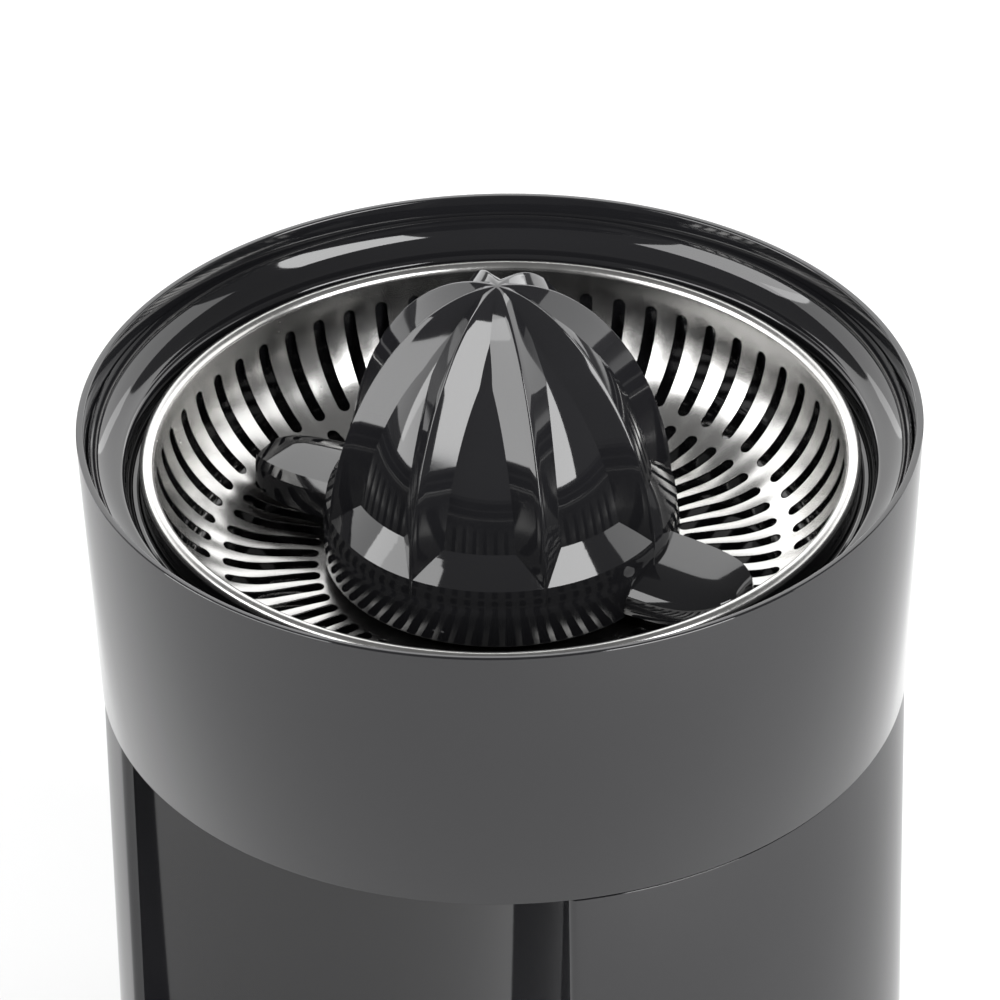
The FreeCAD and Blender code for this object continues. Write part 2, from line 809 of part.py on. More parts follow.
def make_gears():
    """Motor pinion, two compound gears and the output gear, all in mesh at rest."""
    hub = size("axle_radius") + 1.1
    bore = size("axle_radius") + size("fit_clearance")
    floor_top = gearbox_floor + size("gearbox_plate")
    face = size("gear_face")

    motor_to_one = bearing(motor_x, motor_y, one_x, one_y)
    one_to_two = bearing(one_x, one_y, two_x, two_y)
    two_to_output = bearing(two_x, two_y, 0, 0)
    wheel_one_turn = meshing_turn(motor_to_one + 180, "wheel_one_teeth",
                                  0, motor_to_one, "motor_pinion_teeth")
    wheel_two_turn = meshing_turn(one_to_two + 180, "wheel_two_teeth",
                                  0, one_to_two, "pinion_two_teeth")
    output_turn = meshing_turn(two_to_output + 180, "output_teeth",
                               0, two_to_output, "pinion_three_teeth")

    pinion = gear_solid("module_one", "motor_pinion_teeth", layer_one, 0)
    shaft_hole = round_solid(size("rotor_shaft_radius") + size("fit_clearance"),
                             layer_one - 1, layer_one + face + 1)
    motor_pinion = feature("motor_pinion", pinion.cut(shaft_hole), motor_x, motor_y)

    one = gear_solid("module_one", "wheel_one_teeth", layer_one, wheel_one_turn)
    one = one.fuse([gear_solid("module_two", "pinion_two_teeth", layer_two, 0),
                    round_solid(hub, floor_top + 0.2, layer_two + 0.1)])
    one = one.cut(round_solid(bore, floor_top - 1, gearbox_top))
    gear_one = feature("gear_stage_one", one, one_x, one_y)

    two = gear_solid("module_two", "wheel_two_teeth", layer_two, wheel_two_turn)
    two = two.fuse([gear_solid("module_three", "pinion_three_teeth", layer_three, 0),
                    round_solid(hub, floor_top + 0.2, layer_three + 0.1)])
    two = two.cut(round_solid(bore, floor_top - 1, gearbox_top))
    gear_two = feature("gear_stage_two", two, two_x, two_y)

    radius = (size("shaft_radius") + size("slide_clearance")).number
    flat = (size("shaft_flat") + size("slide_clearance")).number
    tall = (gear_hub_top - layer_three).number + 2
    low = layer_three.number - 1
    socket = Part.makeCylinder(radius, tall, V(0, 0, low)).common(
        Part.makeBox(2 * flat, 4 * radius, tall, V(-flat, -2 * radius, low)))
    wheel = gear_solid("module_three", "output_teeth", layer_three, output_turn)
    wheel = wheel.fuse(round_solid(gear_hub_radius, layer_three, gear_hub_top)).cut(socket)
    output = feature("output_gear", wheel)
    return {"motor_pinion": motor_pinion, "gear_stage_one": gear_one,
            "gear_stage_two": gear_two, "output_gear": output}


axles = ((one_x, one_y), (two_x, two_y))


def make_gear_axles():
    bottom = gearbox_floor + 0.2
    length = gearbox_top + size("gearbox_plate") - 0.2 - bottom
    return group("gear_axles", [
        cylinder("axle", size("axle_radius"), length, x, y, bottom) for x, y in axles])


def wheel_room(module, teeth):
    return size(module) * (size(teeth) / 2 + 1) + 0.8


rooms = (
    (as_size(0), as_size(0), wheel_room("module_three", "output_teeth")),
    (two_x, two_y, wheel_room("module_two", "wheel_two_teeth")),
    (one_x, one_y, wheel_room("module_one", "wheel_one_teeth")),
    (motor_x, motor_y, wheel_room("module_one", "motor_pinion_teeth") + 2),
)
EAR_PLACES = ((0, -35), (0, 25), (1, 200), (2, 115))
ear_radius = as_size(4.0)


def ear_places():
    """Screw ears just outside the gearbox wall, each at a bearing from one gear room's axis."""
    places = []
    for index, degrees in EAR_PLACES:
        x, y, room = rooms[index]
        reach = room + size("gearbox_wall") + 2.5
        places.append((x + reach * math.cos(math.radians(degrees)),
                       y + reach * math.sin(math.radians(degrees))))
    return places


ears = ear_places()
motor_screw_places = [(motor_x + 3.7, motor_y + 14.5), (motor_x + 3.7, motor_y - 14.5)]


def make_gearbox_base():
    """Tray that holds the axles and the motor, with a thrust tube and legs for the switch."""
    floor = gearbox_floor
    plate = size("gearbox_plate")
    tall = gearbox_top - floor
    walls = [cylinder("room_wall", room + size("gearbox_wall"), tall, x, y, floor)
             for x, y, room in rooms]
    walls += [cylinder("ear", ear_radius, tall, x, y, floor) for x, y in ears]
    walls.append(cylinder("motor_flange", 20, plate, motor_x, motor_y, floor))
    leg_x = switch_length / 2 + 0.3
    legs = [block("switch_leg", 2, switch_width, floor - switch_bottom,
                  side * (leg_x + 1), 0, switch_bottom) for side in (-1, 1)]
    hollows = [cylinder("room", room, tall, x, y, floor + plate) for x, y, room in rooms]
    tray = cut("gearbox_tray", fuse("gearbox_outside", walls + legs), fuse("gearbox_rooms", hollows))
    tube_bore = size("shaft_radius") + 0.3
    tube = cylinder("thrust_tube", tube_bore + 1.9, layer_three - 0.3 - floor, z=floor)
    holes = [cylinder("shaft_way", tube_bore, layer_three - floor + 2, z=floor - 1),
             cylinder("motor_boss_hole", 5.3, plate + 2, motor_x, motor_y, floor - 1)]
    holes += [cylinder("axle_hole", size("axle_radius") + size("fit_clearance"), plate, x, y, floor + 0.2)
              for x, y in axles]
    holes += [cylinder("screw_hole", size("screw_radius") + 0.2, tall + 2, x, y, floor - 1)
              for x, y in ears]
    holes += [cylinder("motor_screw_hole", size("screw_radius") + 0.2, plate + 2, x, y, floor - 1)
              for x, y in motor_screw_places]
    return cut("gearbox_base", fuse("gearbox_body", [tray, tube]), fuse("gearbox_holes", holes))


def make_gearbox_cover():
    """Lid with the output gear's bearing and the upper axle bores."""
    plate = size("gearbox_plate")
    wall = size("gearbox_wall")
    lids = [cylinder("lid", room + wall, plate, x, y, gearbox_top) for x, y, room in rooms]
    lids += [cylinder("lid_ear", ear_radius, plate, x, y, gearbox_top) for x, y in ears]
    under = gearbox_top - 1
    holes = [cylinder("bearing", gear_hub_radius + size("slide_clearance"), plate + 2, z=under)]
    axle_hole = size("axle_radius") + size("fit_clearance")
    holes += [cylinder("upper_axle_hole", axle_hole, plate + 0.8, x, y, under) for x, y in axles]
    holes += [cylinder("lid_screw_hole", size("screw_radius") + 0.2, plate + 2, x, y, under)
              for x, y in ears]
    return cut("gearbox_cover", fuse("lid_outside", lids), fuse("lid_holes", holes))


def screws(label, places, shank_bottom, shank_length, head_below=True):
    """Pan-head screws, all alike, as one group."""
    pieces = []
    head = size("screw_radius") * 2
    tall = as_size(2.2)
    for x, y in places:
        head_z = shank_bottom - tall if head_below else shank_bottom + shank_length
        pieces.append(fuse("screw", [
            cylinder("shank", size("screw_radius"), shank_length, x, y, shank_bottom),
            cylinder("head", head, tall, x, y, head_z)]))
    return group(label, pieces)


# ---------------------------------------------------------------- motor
can_bottom = gearbox_floor - size("motor_length")
cap_height = as_size(4.0)
commutator_radius = as_size(5.0)
brush_low = can_bottom + 3


def make_motor_can():
    wall = size("motor_wall")
    radius = size("motor_radius")
    length = size("motor_length")
    shell = fuse("can_outside", [
        cylinder("can", radius, length, motor_x, motor_y, can_bottom),
        cylinder("can_boss", 5, 2, motor_x, motor_y, can_bottom + length)])
    holes = [cylinder("can_room", radius - wall, length - wall, motor_x, motor_y, can_bottom),
             cylinder("front_bearing", size("rotor_shaft_radius") + size("slide_clearance"), length + 4,
                      motor_x, motor_y, can_bottom)]
    holes += [cylinder("can_screw_hole", size("screw_radius") + 0.05, 8, x, y, can_bottom + length - 6)
              for x, y in motor_screw_places]
    return cut("motor_can", shell, fuse("can_holes", holes))


def make_motor_magnets():
    """Two curved magnets against the can's wall."""
    outer = size("motor_radius") - size("motor_wall") - 0.05
    magnet = ring("magnet_ring", outer - 3.4, outer, can_bottom + 14, size("motor_length") - 22,
                  motor_x, motor_y)
    gap = block("magnet_gap", 14, 2 * size("motor_radius"), size("motor_length"),
                motor_x, motor_y, can_bottom)
    return cut("motor_magnets", magnet, gap)


def make_motor_end_cap():
    """Rear cap with the lower bearing and the two brush holders."""
    bottom = can_bottom - cap_height
    holder = 9.0
    solids = [cylinder("cap", size("motor_radius"), cap_height, motor_x, motor_y, bottom),
              cylinder("cap_boss", 6, 3, motor_x, motor_y, bottom - 3)]
    solids += [block("brush_holder", holder, 8, 9, side * (commutator_radius + 1.4 + holder / 2),
                     motor_y, can_bottom - 0.5) for side in (-1, 1)]
    holes = [cylinder("rear_bearing", size("rotor_shaft_radius") + size("slide_clearance"), 20,
                      motor_x, motor_y, bottom - 4),
             block("brush_channel", 60, 4.2, 5.2, motor_x, motor_y, brush_low - 0.1)]
    return cut("motor_end_cap", fuse("cap_body", solids), fuse("cap_holes", holes))


def make_carbon_brushes():
    length = 7.0
    return group("carbon_brushes", [
        block("brush", length, 4, 5, side * (commutator_radius + 0.2 + length / 2), motor_y, brush_low)
        for side in (-1, 1)])


def make_rotor_shaft():
    bottom = can_bottom - 5
    return cylinder("rotor_shaft", size("rotor_shaft_radius"), layer_one + size("gear_face") + 0.5 - bottom,
                    motor_x, motor_y, bottom)


def make_rotor_core():
    """Laminated core with twelve winding slots."""
    bore = size("rotor_shaft_radius") + size("fit_clearance")
    core = ring("core_stack", bore, size("rotor_radius"), can_bottom + 17, size("motor_length") - 28,
                motor_x, motor_y)
    count = 12
    slots = []
    for index in range(count):
        angle = 2 * math.pi * index / count
        reach = size("rotor_radius") - 4
        slots.append(cylinder("winding_slot", 2.2, size("motor_length"), motor_x + reach * math.cos(angle),
                              motor_y + reach * math.sin(angle), can_bottom))
    return cut("rotor_core", core, fuse("winding_slots", slots))


def make_commutator():
    bore = size("rotor_shaft_radius") + size("fit_clearance")
    return ring("commutator", bore, commutator_radius, can_bottom + 2, 8, motor_x, motor_y)


# ---------------------------------------------------------------- switch and electrics
switch_length = as_size(27.8)
switch_width = as_size(10.3)
switch_height = as_size(15.9)
plunger_radius = as_size(1.6)
plunger_top = shaft_bottom - 0.3
switch_top = plunger_top - size("press_travel") - 0.3
switch_bottom = switch_top - switch_height


def make_microswitch():
    case = block("switch_case", switch_length, switch_width, switch_height, z=switch_bottom)
    bore = cylinder("plunger_bore", plunger_radius + size("slide_clearance"), 8, z=switch_top - 7)
    return cut("microswitch", case, bore)


def make_switch_plunger():
    return cylinder("switch_plunger", plunger_radius, plunger_top - switch_top + 4, z=switch_top - 4)


board_x = as_size(-48.0)
board_y = as_size(0.0)
board_length = as_size(44.0)
board_width = as_size(36.0)
board_bottom = shell_bottom + 6
board_thick = as_size(1.6)


def board_corners():
    return [(board_x + side * (board_length / 2 - 4), board_y + end * (board_width / 2 - 4))
            for side in (-1, 1) for end in (-1, 1)]


def make_circuit_board():
    board = block("board", board_length, board_width, board_thick, board_x, board_y, board_bottom)
    holes = [cylinder("board_hole", size("screw_radius") + 0.1, 4, x, y, board_bottom - 1)
             for x, y in board_corners()]
    return cut("circuit_board", board, fuse("board_holes", holes))


def make_filter_capacitor():
    return cylinder("filter_capacitor", 6, 16, board_x - 8, board_y + 6, board_bottom + board_thick)


def make_rectifier():
    return block("rectifier", 10, 10, 8, board_x + 11, board_y + 3, board_bottom + board_thick)


def make_terminal_block():
    return block("terminal_block", 16, 8, 9, board_x + 2, board_y - 13, board_bottom + board_thick)


def make_cord_gland():
    """Grommet in the rear wall with a flange on each side of it."""
    wall = size("shell_wall")
    face = size("body_radius")
    bore = size("gland_bore")
    height = size("gland_height")
    outside = fuse("gland_outside", [
        lying_cylinder("gland_neck", bore + 2, wall + 6, "y", 0, face - wall - 4, height),
        lying_cylinder("gland_inner_flange", bore + 4, 1.8, "y", 0, face - wall - 3, height),
        lying_cylinder("gland_outer_flange", bore + 3.5, 1.6, "y", 0, face + 0.1, height)])
    hole = lying_cylinder("gland_hole", bore, wall + 10, "y", 0, face - wall - 6, height)
    return cut("cord_gland", outside, hole)


# ---------------------------------------------------------------- body
posts = [(size("rear_post_x"), size("rear_post_y")), (-size("rear_post_x"), size("rear_post_y")),
         (size("front_post_x"), -size("front_post_y")), (-size("front_post_x"), -size("front_post_y"))]


def niche_cutter(label, radius, bottom, height):
    return cylinder(label, radius, height, 0, niche_y, bottom)


def make_body_shell():
    """Round wall that turns in around the glass niche, open above and below."""
    tall = shell_top - shell_bottom
    radius = size("body_radius")
    niche = size("niche_radius")
    outside = cut("shell_outside", cylinder("shell_round", radius, tall, z=shell_bottom),
                  niche_cutter("shell_niche", niche, shell_bottom - 1, tall + 2))
    inside = cut("shell_inside", cylinder("shell_room", inner_radius, tall + 4, z=shell_bottom - 2),
                 niche_cutter("shell_niche_back", inner_niche, shell_bottom - 3, tall + 6))
    shell = cut("shell_wall_piece", outside, inside)
    gland = lying_cylinder("gland_way", size("gland_bore") + 2.1, 20, "y", 0, radius - 15,
                           size("gland_height"))
    return cut("body_shell", shell, gland)


def make_top_deck():
    """Closes the body under the collector; its tower carries the shaft, its posts the base."""
    clearance = as_size(0.3)
    plate = size("deck_wall")
    plateau = size("seam_radius") - size("ring_wall") - 0.5
    tower = size("tower_radius")
    plateau_top = shell_top + 5
    solids = [
        cylinder("deck_plate", inner_radius - clearance, plate, z=deck_bottom),
        cylinder("deck_plateau", plateau, 5, z=shell_top)]
    niche = niche_cutter("deck_niche", inner_niche + clearance, deck_bottom - 1, plate + 10)
    skin_under = plateau_top - plate
    room = cut("deck_room", cylinder("plateau_room", inner_radius - plate, skin_under - deck_bottom + 1,
                                     z=deck_bottom - 1),
               niche_cutter("room_niche", inner_niche + plate, deck_bottom - 2, 20))
    plates = cut("deck_plates", cut("deck_outside", fuse("deck_disc", solids), niche), room)
    skirt = doc.addObject("Part::Cone", "tower_foot")
    bind(skirt, "Radius1", tower + 8)
    bind(skirt, "Radius2", tower)
    bind(skirt, "Height", 8)
    place(skirt, z=plateau_top - 0.5)
    columns = [skirt, cylinder("tower", tower, tower_top - deck_bottom, z=deck_bottom)]
    post_bottom = shell_bottom + 0.2
    columns += [cylinder("post", size("post_radius"), skin_under + 0.5 - post_bottom, x, y, post_bottom)
                for x, y in posts]
    lid_top = gearbox_top + size("gearbox_plate")
    columns += [cylinder("deck_boss", ear_radius, skin_under + 0.5 - lid_top, x, y, lid_top)
                for x, y in ears]
    seat = size("shaft_radius") + 2.5
    holes = [cylinder("tower_room", gear_hub_radius + 0.9, tower_top - 14 - deck_bottom + 1,
                      z=deck_bottom - 1),
             cylinder("bushing_seat", seat + size("fit_clearance"), 40, z=tower_top - 20),
             cylinder("seal_seat", seat + 1.5, 2, z=tower_top - 2)]
    holes += [cylinder("post_bore", size("screw_radius") + size("fit_clearance"), 18, x, y, shell_bottom)
              for x, y in posts]
    holes += [cylinder("boss_bore", size("screw_radius") + size("fit_clearance"),
                       shell_top - 1.2 - lid_top + 1, x, y, lid_top - 1) for x, y in ears]
    return cut("top_deck", fuse("deck_body", [plates] + columns), fuse("deck_holes", holes))


def make_shaft_bushing():
    seat = size("shaft_radius") + 2.5
    return ring("shaft_bushing", size("shaft_radius") + size("slide_clearance"), seat, tower_top - 14, 11.8)


def make_shaft_seal():
    """Rubber lip ring in the tower's mouth."""
    seat = size("shaft_radius") + 4.0
    base = tower_top - 2
    return turned_piece("shaft_seal", [
        (size("shaft_radius") + 0.08, base + 3.2), (size("shaft_radius") + 0.08, base + 1.6),
        (size("shaft_radius") + 1.2, base + 0.1), (seat - 0.05, base + 0.1),
        (seat - 0.05, base + 2.4), (size("shaft_radius") + 1.2, base + 2.8),
        (size("shaft_radius") + 0.6, base + 3.6)])


feet = [(45.0, 58.0), (-45.0, 58.0), (50.0, -58.0), (-50.0, -58.0)]


def make_base_plate():
    """Bottom plate; its raised front is the floor that the glass stands on."""
    radius = size("body_radius")
    plate = size("base_wall")
    niche = size("niche_radius")
    floor = size("niche_floor")
    rest = common("glass_rest", cylinder("rest_round", radius, floor - foot, z=foot),
                  niche_cutter("rest_niche", niche - 0.3, foot, floor - foot))
    lip_outside = inner_radius - 0.3
    lip = cut("locating_lip", ring("lip_ring", lip_outside - 2, lip_outside, foot + plate - 0.5, 4.5),
              niche_cutter("lip_niche", inner_niche + 0.6, foot, 30))
    standoffs = [cylinder("standoff", 3, board_bottom - shell_bottom + 0.5, x, y, shell_bottom - 0.5)
                 for x, y in board_corners()]
    body = fuse("base_body", [cylinder("base_disc", radius, plate, z=foot), rest, lip] + standoffs)
    dish_y = outlet_y + 4
    holes = [cylinder("underside_room", 24, floor - foot - 2.5, 0, dish_y, foot),
             cylinder("glass_dish", niche - size("dish_margin"), 1.2, 0, dish_y, floor - 0.6)]
    holes += [cylinder("foot_seat", size("foot_radius") + 0.1, 1, x, y, foot) for x, y in feet]
    holes += [cylinder("base_screw_hole", size("screw_radius") + 0.2, 20, x, y, foot) for x, y in posts]
    holes += [cylinder("base_screw_head_room", size("screw_radius") * 2 + 0.3, 2.6, x, y, foot)
              for x, y in posts]
    holes += [cylinder("board_screw_bore", size("screw_radius") + size("fit_clearance"), 8, x, y,
                       board_bottom - 5) for x, y in board_corners()]
    return cut("base_plate", body, fuse("base_holes", holes))


def make_rubber_feet():
    return group("rubber_feet", [
        cylinder("foot", size("foot_radius"), foot + 0.8, x, y, 0) for x, y in feet])


# ---------------------------------------------------------------- the assembly
def make_parts():
    lid_top = gearbox_top + size("gearbox_plate")
    parts = {
        "collector_ring": make_collector_ring(),
        "juice_bowl": make_juice_bowl(),
        "spout": make_spout(),
        "spout_pin": make_spout_pin(),
        "strainer_basket": make_strainer_basket(),
        "reamer_cone": make_reamer_cone(),
        "reamer_hub": make_reamer_hub(),
        "drive_shaft": make_drive_shaft(),
        "spring_collar": make_spring_collar(),
        "stop_clip": make_stop_clip(),
        "return_spring": make_return_spring(),
        "gear_axles": make_gear_axles(),
        "gearbox_base": make_gearbox_base(),
        "gearbox_cover": make_gearbox_cover(),
        "gearbox_screws": screws("gearbox_screws", ears, gearbox_floor,
                                 lid_top + 5 - gearbox_floor),
        "motor_can": make_motor_can(),
        "motor_magnets": make_motor_magnets(),
        "motor_end_cap": make_motor_end_cap(),
        "carbon_brushes": make_carbon_brushes(),
        "rotor_shaft": make_rotor_shaft(),
        "rotor_core": make_rotor_core(),
        "commutator": make_commutator(),
        "motor_screws": screws("motor_screws", motor_screw_places,
                               gearbox_floor + size("gearbox_plate") - 7, as_size(7),
                               head_below=False),
        "microswitch": make_microswitch(),
        "switch_plunger": make_switch_plunger(),
        "top_deck": make_top_deck(),
        "shaft_bushing": make_shaft_bushing(),
        "shaft_seal": make_shaft_seal(),
        "body_shell": make_body_shell(),
        "base_plate": make_base_plate(),
        "rubber_feet": make_rubber_feet(),
        "base_screws": screws("base_screws", posts, foot + 2.5, as_size(16)),
        "cord_gland": make_cord_gland(),
        "circuit_board": make_circuit_board(),
        "filter_capacitor": make_filter_capacitor(),
        "rectifier": make_rectifier(),
        "terminal_block": make_terminal_block(),
        "board_screws": screws("board_screws", board_corners(), board_bottom + board_thick - 6,
                               as_size(6), head_below=False),
    }
    parts.update(make_gears())
    return parts


def check_and_write(parts):
    doc.recompute()
    for item in doc.Objects:
        if "Invalid" in item.State or "Error" in item.State:
            raise ValueError(f"{item.Label} failed: {item.State}")
    os.makedirs("parts", exist_ok=True)
    for label, item in parts.items():
        if item.Label != label:
            raise ValueError(f"{label} is labelled {item.Label}")
        if item.Shape.isNull() or not item.Shape.isValid():
            raise ValueError(f"{label} has no valid shape")
    for label, item in parts.items():
        item.Shape.exportStep(f"parts/{label}.step")
        print(label, len(item.Shape.Solids), round(item.Shape.Volume, 1))


check_and_write(make_parts())
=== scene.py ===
# %% [markdown]
# # Citrus press juicer
# A motor-driven juicer: a ribbed cone turns over a slotted steel strainer, the juice runs through a
# collector and a tipping spout into a glass that stands in a niche of the body.
#
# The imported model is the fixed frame. It holds every part at its real size, and the parts that can be
# seen are made again here with finer curves, rounded edges and proper surface finishes.

# %% Load the frame
import json
import math

import bmesh
import bpy
from mathutils import Matrix, Vector


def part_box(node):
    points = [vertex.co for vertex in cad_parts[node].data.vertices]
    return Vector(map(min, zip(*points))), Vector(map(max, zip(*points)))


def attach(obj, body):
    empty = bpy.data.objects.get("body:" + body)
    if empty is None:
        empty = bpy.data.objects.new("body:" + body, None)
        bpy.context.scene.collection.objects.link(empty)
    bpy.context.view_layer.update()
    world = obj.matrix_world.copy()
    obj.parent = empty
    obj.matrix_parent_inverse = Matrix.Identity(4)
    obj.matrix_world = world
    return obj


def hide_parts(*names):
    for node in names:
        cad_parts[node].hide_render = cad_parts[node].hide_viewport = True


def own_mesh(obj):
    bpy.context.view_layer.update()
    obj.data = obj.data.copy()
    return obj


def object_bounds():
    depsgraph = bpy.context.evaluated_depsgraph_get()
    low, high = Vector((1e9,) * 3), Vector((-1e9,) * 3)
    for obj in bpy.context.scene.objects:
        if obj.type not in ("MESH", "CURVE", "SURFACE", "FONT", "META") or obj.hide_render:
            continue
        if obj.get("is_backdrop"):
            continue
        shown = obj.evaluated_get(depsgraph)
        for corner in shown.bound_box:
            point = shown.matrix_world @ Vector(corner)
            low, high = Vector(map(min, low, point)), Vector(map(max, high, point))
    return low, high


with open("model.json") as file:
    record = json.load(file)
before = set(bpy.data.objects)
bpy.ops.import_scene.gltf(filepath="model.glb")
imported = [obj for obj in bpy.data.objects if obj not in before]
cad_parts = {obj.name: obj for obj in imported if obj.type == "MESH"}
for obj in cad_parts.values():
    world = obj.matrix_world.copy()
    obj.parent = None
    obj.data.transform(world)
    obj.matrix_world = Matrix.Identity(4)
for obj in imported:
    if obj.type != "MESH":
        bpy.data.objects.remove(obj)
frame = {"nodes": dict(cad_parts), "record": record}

cad_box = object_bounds()
scene = bpy.context.scene

# %% [markdown]
# ## Places taken from the frame
# The places that several pieces share are read from the frame, in metres: the height of the rim and
# of the seam, and the tip of the cone. The sizes of moulded details are given in millimetres, and `MM`
# turns them into metres.

# %% Main heights
MM = 0.001
ring_low, ring_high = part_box("collector_ring")
rim_z = ring_high.z
seam_z = ring_low.z
shell_low, shell_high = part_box("body_shell")
tip_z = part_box("reamer_cone")[1].z
print(f"rim {rim_z:.4f} high, {ring_high.x:.4f} in radius; seam {seam_z:.4f}; cone tip {tip_z:.4f}")

# %% [markdown]
# ## Camera, floor and light
# A long lens looks down at the juicer from its front right, as for a catalogue. The floor is plain and
# pale. A gloss black product is lit by what it mirrors, so the light comes from a few large soft
# panels with dark room between them: each panel shows as one clean patch on the lacquer.

# %% Camera
CAMERA_AZIMUTH = math.radians(31.0)
CAMERA_ELEVATION = math.radians(33.33)
CAMERA_ROLL = math.radians(-1.06)
CAMERA_DISTANCE = 1.687
LENS_MM = 278.4
FRAMING = (0.0005, -0.0844)


def direction(azimuth, elevation):
    """Unit vector from the juicer; azimuth 0 is in front of it and grows to the right."""
    flat = math.cos(elevation)
    return Vector((math.sin(azimuth) * flat, -math.cos(azimuth) * flat, math.sin(elevation)))


rim_centre = Vector((0, 0, rim_z))
camera_data = bpy.data.cameras.new("camera")
camera_data.lens = LENS_MM
camera_data.sensor_width = 36.0
camera_data.shift_x, camera_data.shift_y = FRAMING
camera_data.clip_start = 0.1
camera_data.clip_end = 50.0
camera = bpy.data.objects.new("camera", camera_data)
scene.collection.objects.link(camera)
sight = direction(CAMERA_AZIMUTH, CAMERA_ELEVATION)
camera.location = rim_centre + sight * CAMERA_DISTANCE
camera.rotation_euler = (sight.to_track_quat("Z", "Y").to_matrix()
                         @ Matrix.Rotation(CAMERA_ROLL, 3, "Z")).to_euler()
scene.camera = camera
scene.view_settings.view_transform = "Standard"
print("camera at", tuple(round(value, 3) for value in camera.location))


# %% Soft panels
ROOM_BRIGHTNESS = 0.22


def soft_panel(name, azimuth, elevation, distance, width, height, power):
    """A rectangular light that faces the juicer; angles in degrees, sizes in metres, power in watts."""
    light = bpy.data.lights.new(name, "AREA")
    light.shape = "RECTANGLE"
    light.size = width
    light.size_y = height
    light.energy = power
    panel = bpy.data.objects.new(name, light)
    scene.collection.objects.link(panel)
    toward = direction(math.radians(azimuth), math.radians(elevation))
    panel.location = rim_centre + toward * distance
    panel.rotation_euler = toward.to_track_quat("Z", "Y").to_euler()


soft_panel("right_panel", 76, 22, 1.4, 0.86, 1.40, 42)
soft_panel("left_panel", -41, 20, 1.4, 1.13, 1.36, 31)
soft_panel("left_wall", -87, 20, 2.1, 2.4, 1.40, 25)
soft_panel("right_wall", 149, 20, 2.1, 2.4, 1.40, 25)
soft_panel("back_wall", 211, 22, 2.2, 3.2, 1.50, 38)
world = bpy.data.worlds.new("studio")
world.use_nodes = True
room_light = world.node_tree.nodes["Background"]
room_light.inputs["Color"].default_value = (1, 1, 1, 1)
room_light.inputs["Strength"].default_value = ROOM_BRIGHTNESS
scene.world = world

# %% Floor
FLOOR_RADIUS = 6.0
FLOOR_GREY = 0.70
floor_mesh = bmesh.new()
bmesh.ops.create_circle(floor_mesh, cap_ends=True, segments=96, radius=FLOOR_RADIUS)
floor_data = bpy.data.meshes.new("floor")
floor_mesh.to_mesh(floor_data)
floor_mesh.free()
floor = bpy.data.objects.new("floor", floor_data)
scene.collection.objects.link(floor)
floor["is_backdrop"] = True
floor_finish = bpy.data.materials.new("pale_floor")
floor_finish.use_nodes = True
floor_shader = floor_finish.node_tree.nodes["Principled BSDF"]
floor_shader.inputs["Base Color"].default_value = (FLOOR_GREY, FLOOR_GREY, FLOOR_GREY, 1)
floor_shader.inputs["Roughness"].default_value = 0.9
floor_data.materials.append(floor_finish)
print("floor radius", FLOOR_RADIUS, "m")

# %% [markdown]
# ## Finishes
# Each finish is one short node tree. Object coordinates drive a noise that varies the roughness and
# lifts a very small bump, which is what keeps moulded plastic, rubber and metal from looking like
# flat paint. Uniform numbers stay on the shader's own sockets.


# %% A finish with fine variation
def grained(name, colour, roughness, grain, metallic=0.0, spread=0.05, bump=0.02,
            stretch=(1, 1, 1), coat=0.0, tint=0.06):
    """A material whose roughness, colour and relief vary over a fine grain; bump is in millimetres."""
    material = bpy.data.materials.new(name)
    material.use_nodes = True
    nodes = material.node_tree.nodes
    links = material.node_tree.links
    shader = nodes["Principled BSDF"]
    shader.inputs["Metallic"].default_value = metallic
    shader.inputs["Coat Weight"].default_value = coat
    shader.inputs["Coat Roughness"].default_value = 0.03
    place = nodes.new("ShaderNodeTexCoord")
    mapping = nodes.new("ShaderNodeMapping")
    mapping.inputs["Scale"].default_value = stretch
    links.new(place.outputs["Object"], mapping.inputs["Vector"])
    pattern = nodes.new("ShaderNodeTexNoise")
    pattern.inputs["Scale"].default_value = grain
    pattern.inputs["Detail"].default_value = 4.0
    links.new(mapping.outputs["Vector"], pattern.inputs["Vector"])
    ranged = nodes.new("ShaderNodeMapRange")
    ranged.inputs["To Min"].default_value = max(roughness - spread, 0.01)
    ranged.inputs["To Max"].default_value = roughness + spread
    links.new(pattern.outputs["Fac"], ranged.inputs["Value"])
    links.new(ranged.outputs["Result"], shader.inputs["Roughness"])
    shades = nodes.new("ShaderNodeMix")
    shades.data_type = "RGBA"
    shades.inputs["A"].default_value = (*[part * (1 - tint) for part in colour], 1)
    shades.inputs["B"].default_value = (*[min(part * (1 + tint), 1) for part in colour], 1)
    links.new(pattern.outputs["Fac"], shades.inputs["Factor"])
    links.new(shades.outputs["Result"], shader.inputs["Base Color"])
    if bump:
        relief = nodes.new("ShaderNodeBump")
        relief.inputs["Strength"].default_value = 1.0
        relief.inputs["Distance"].default_value = bump * MM
        links.new(pattern.outputs["Fac"], relief.inputs["Height"])
        links.new(relief.outputs["Normal"], shader.inputs["Normal"])
    return material


# %% The finishes of this juicer
piano_black = grained("piano_black", (0.008, 0.008, 0.009), 0.05, grain=60, spread=0.012, bump=0)
pressed_steel = grained("pressed_steel", (0.455, 0.451, 0.441), 0.25, metallic=1.0, grain=260)
moulded_black = grained("moulded_black", (0.02, 0.02, 0.021), 0.42, grain=900, spread=0.08)
soft_rubber = grained("soft_rubber", (0.018, 0.018, 0.018), 0.68, grain=700, spread=0.08, bump=0.03)
turned_steel = grained("turned_steel", (0.58, 0.58, 0.59), 0.28, metallic=1.0, grain=300,
                       stretch=(1, 1, 12), bump=0.006)
print("materials:", len(bpy.data.materials))

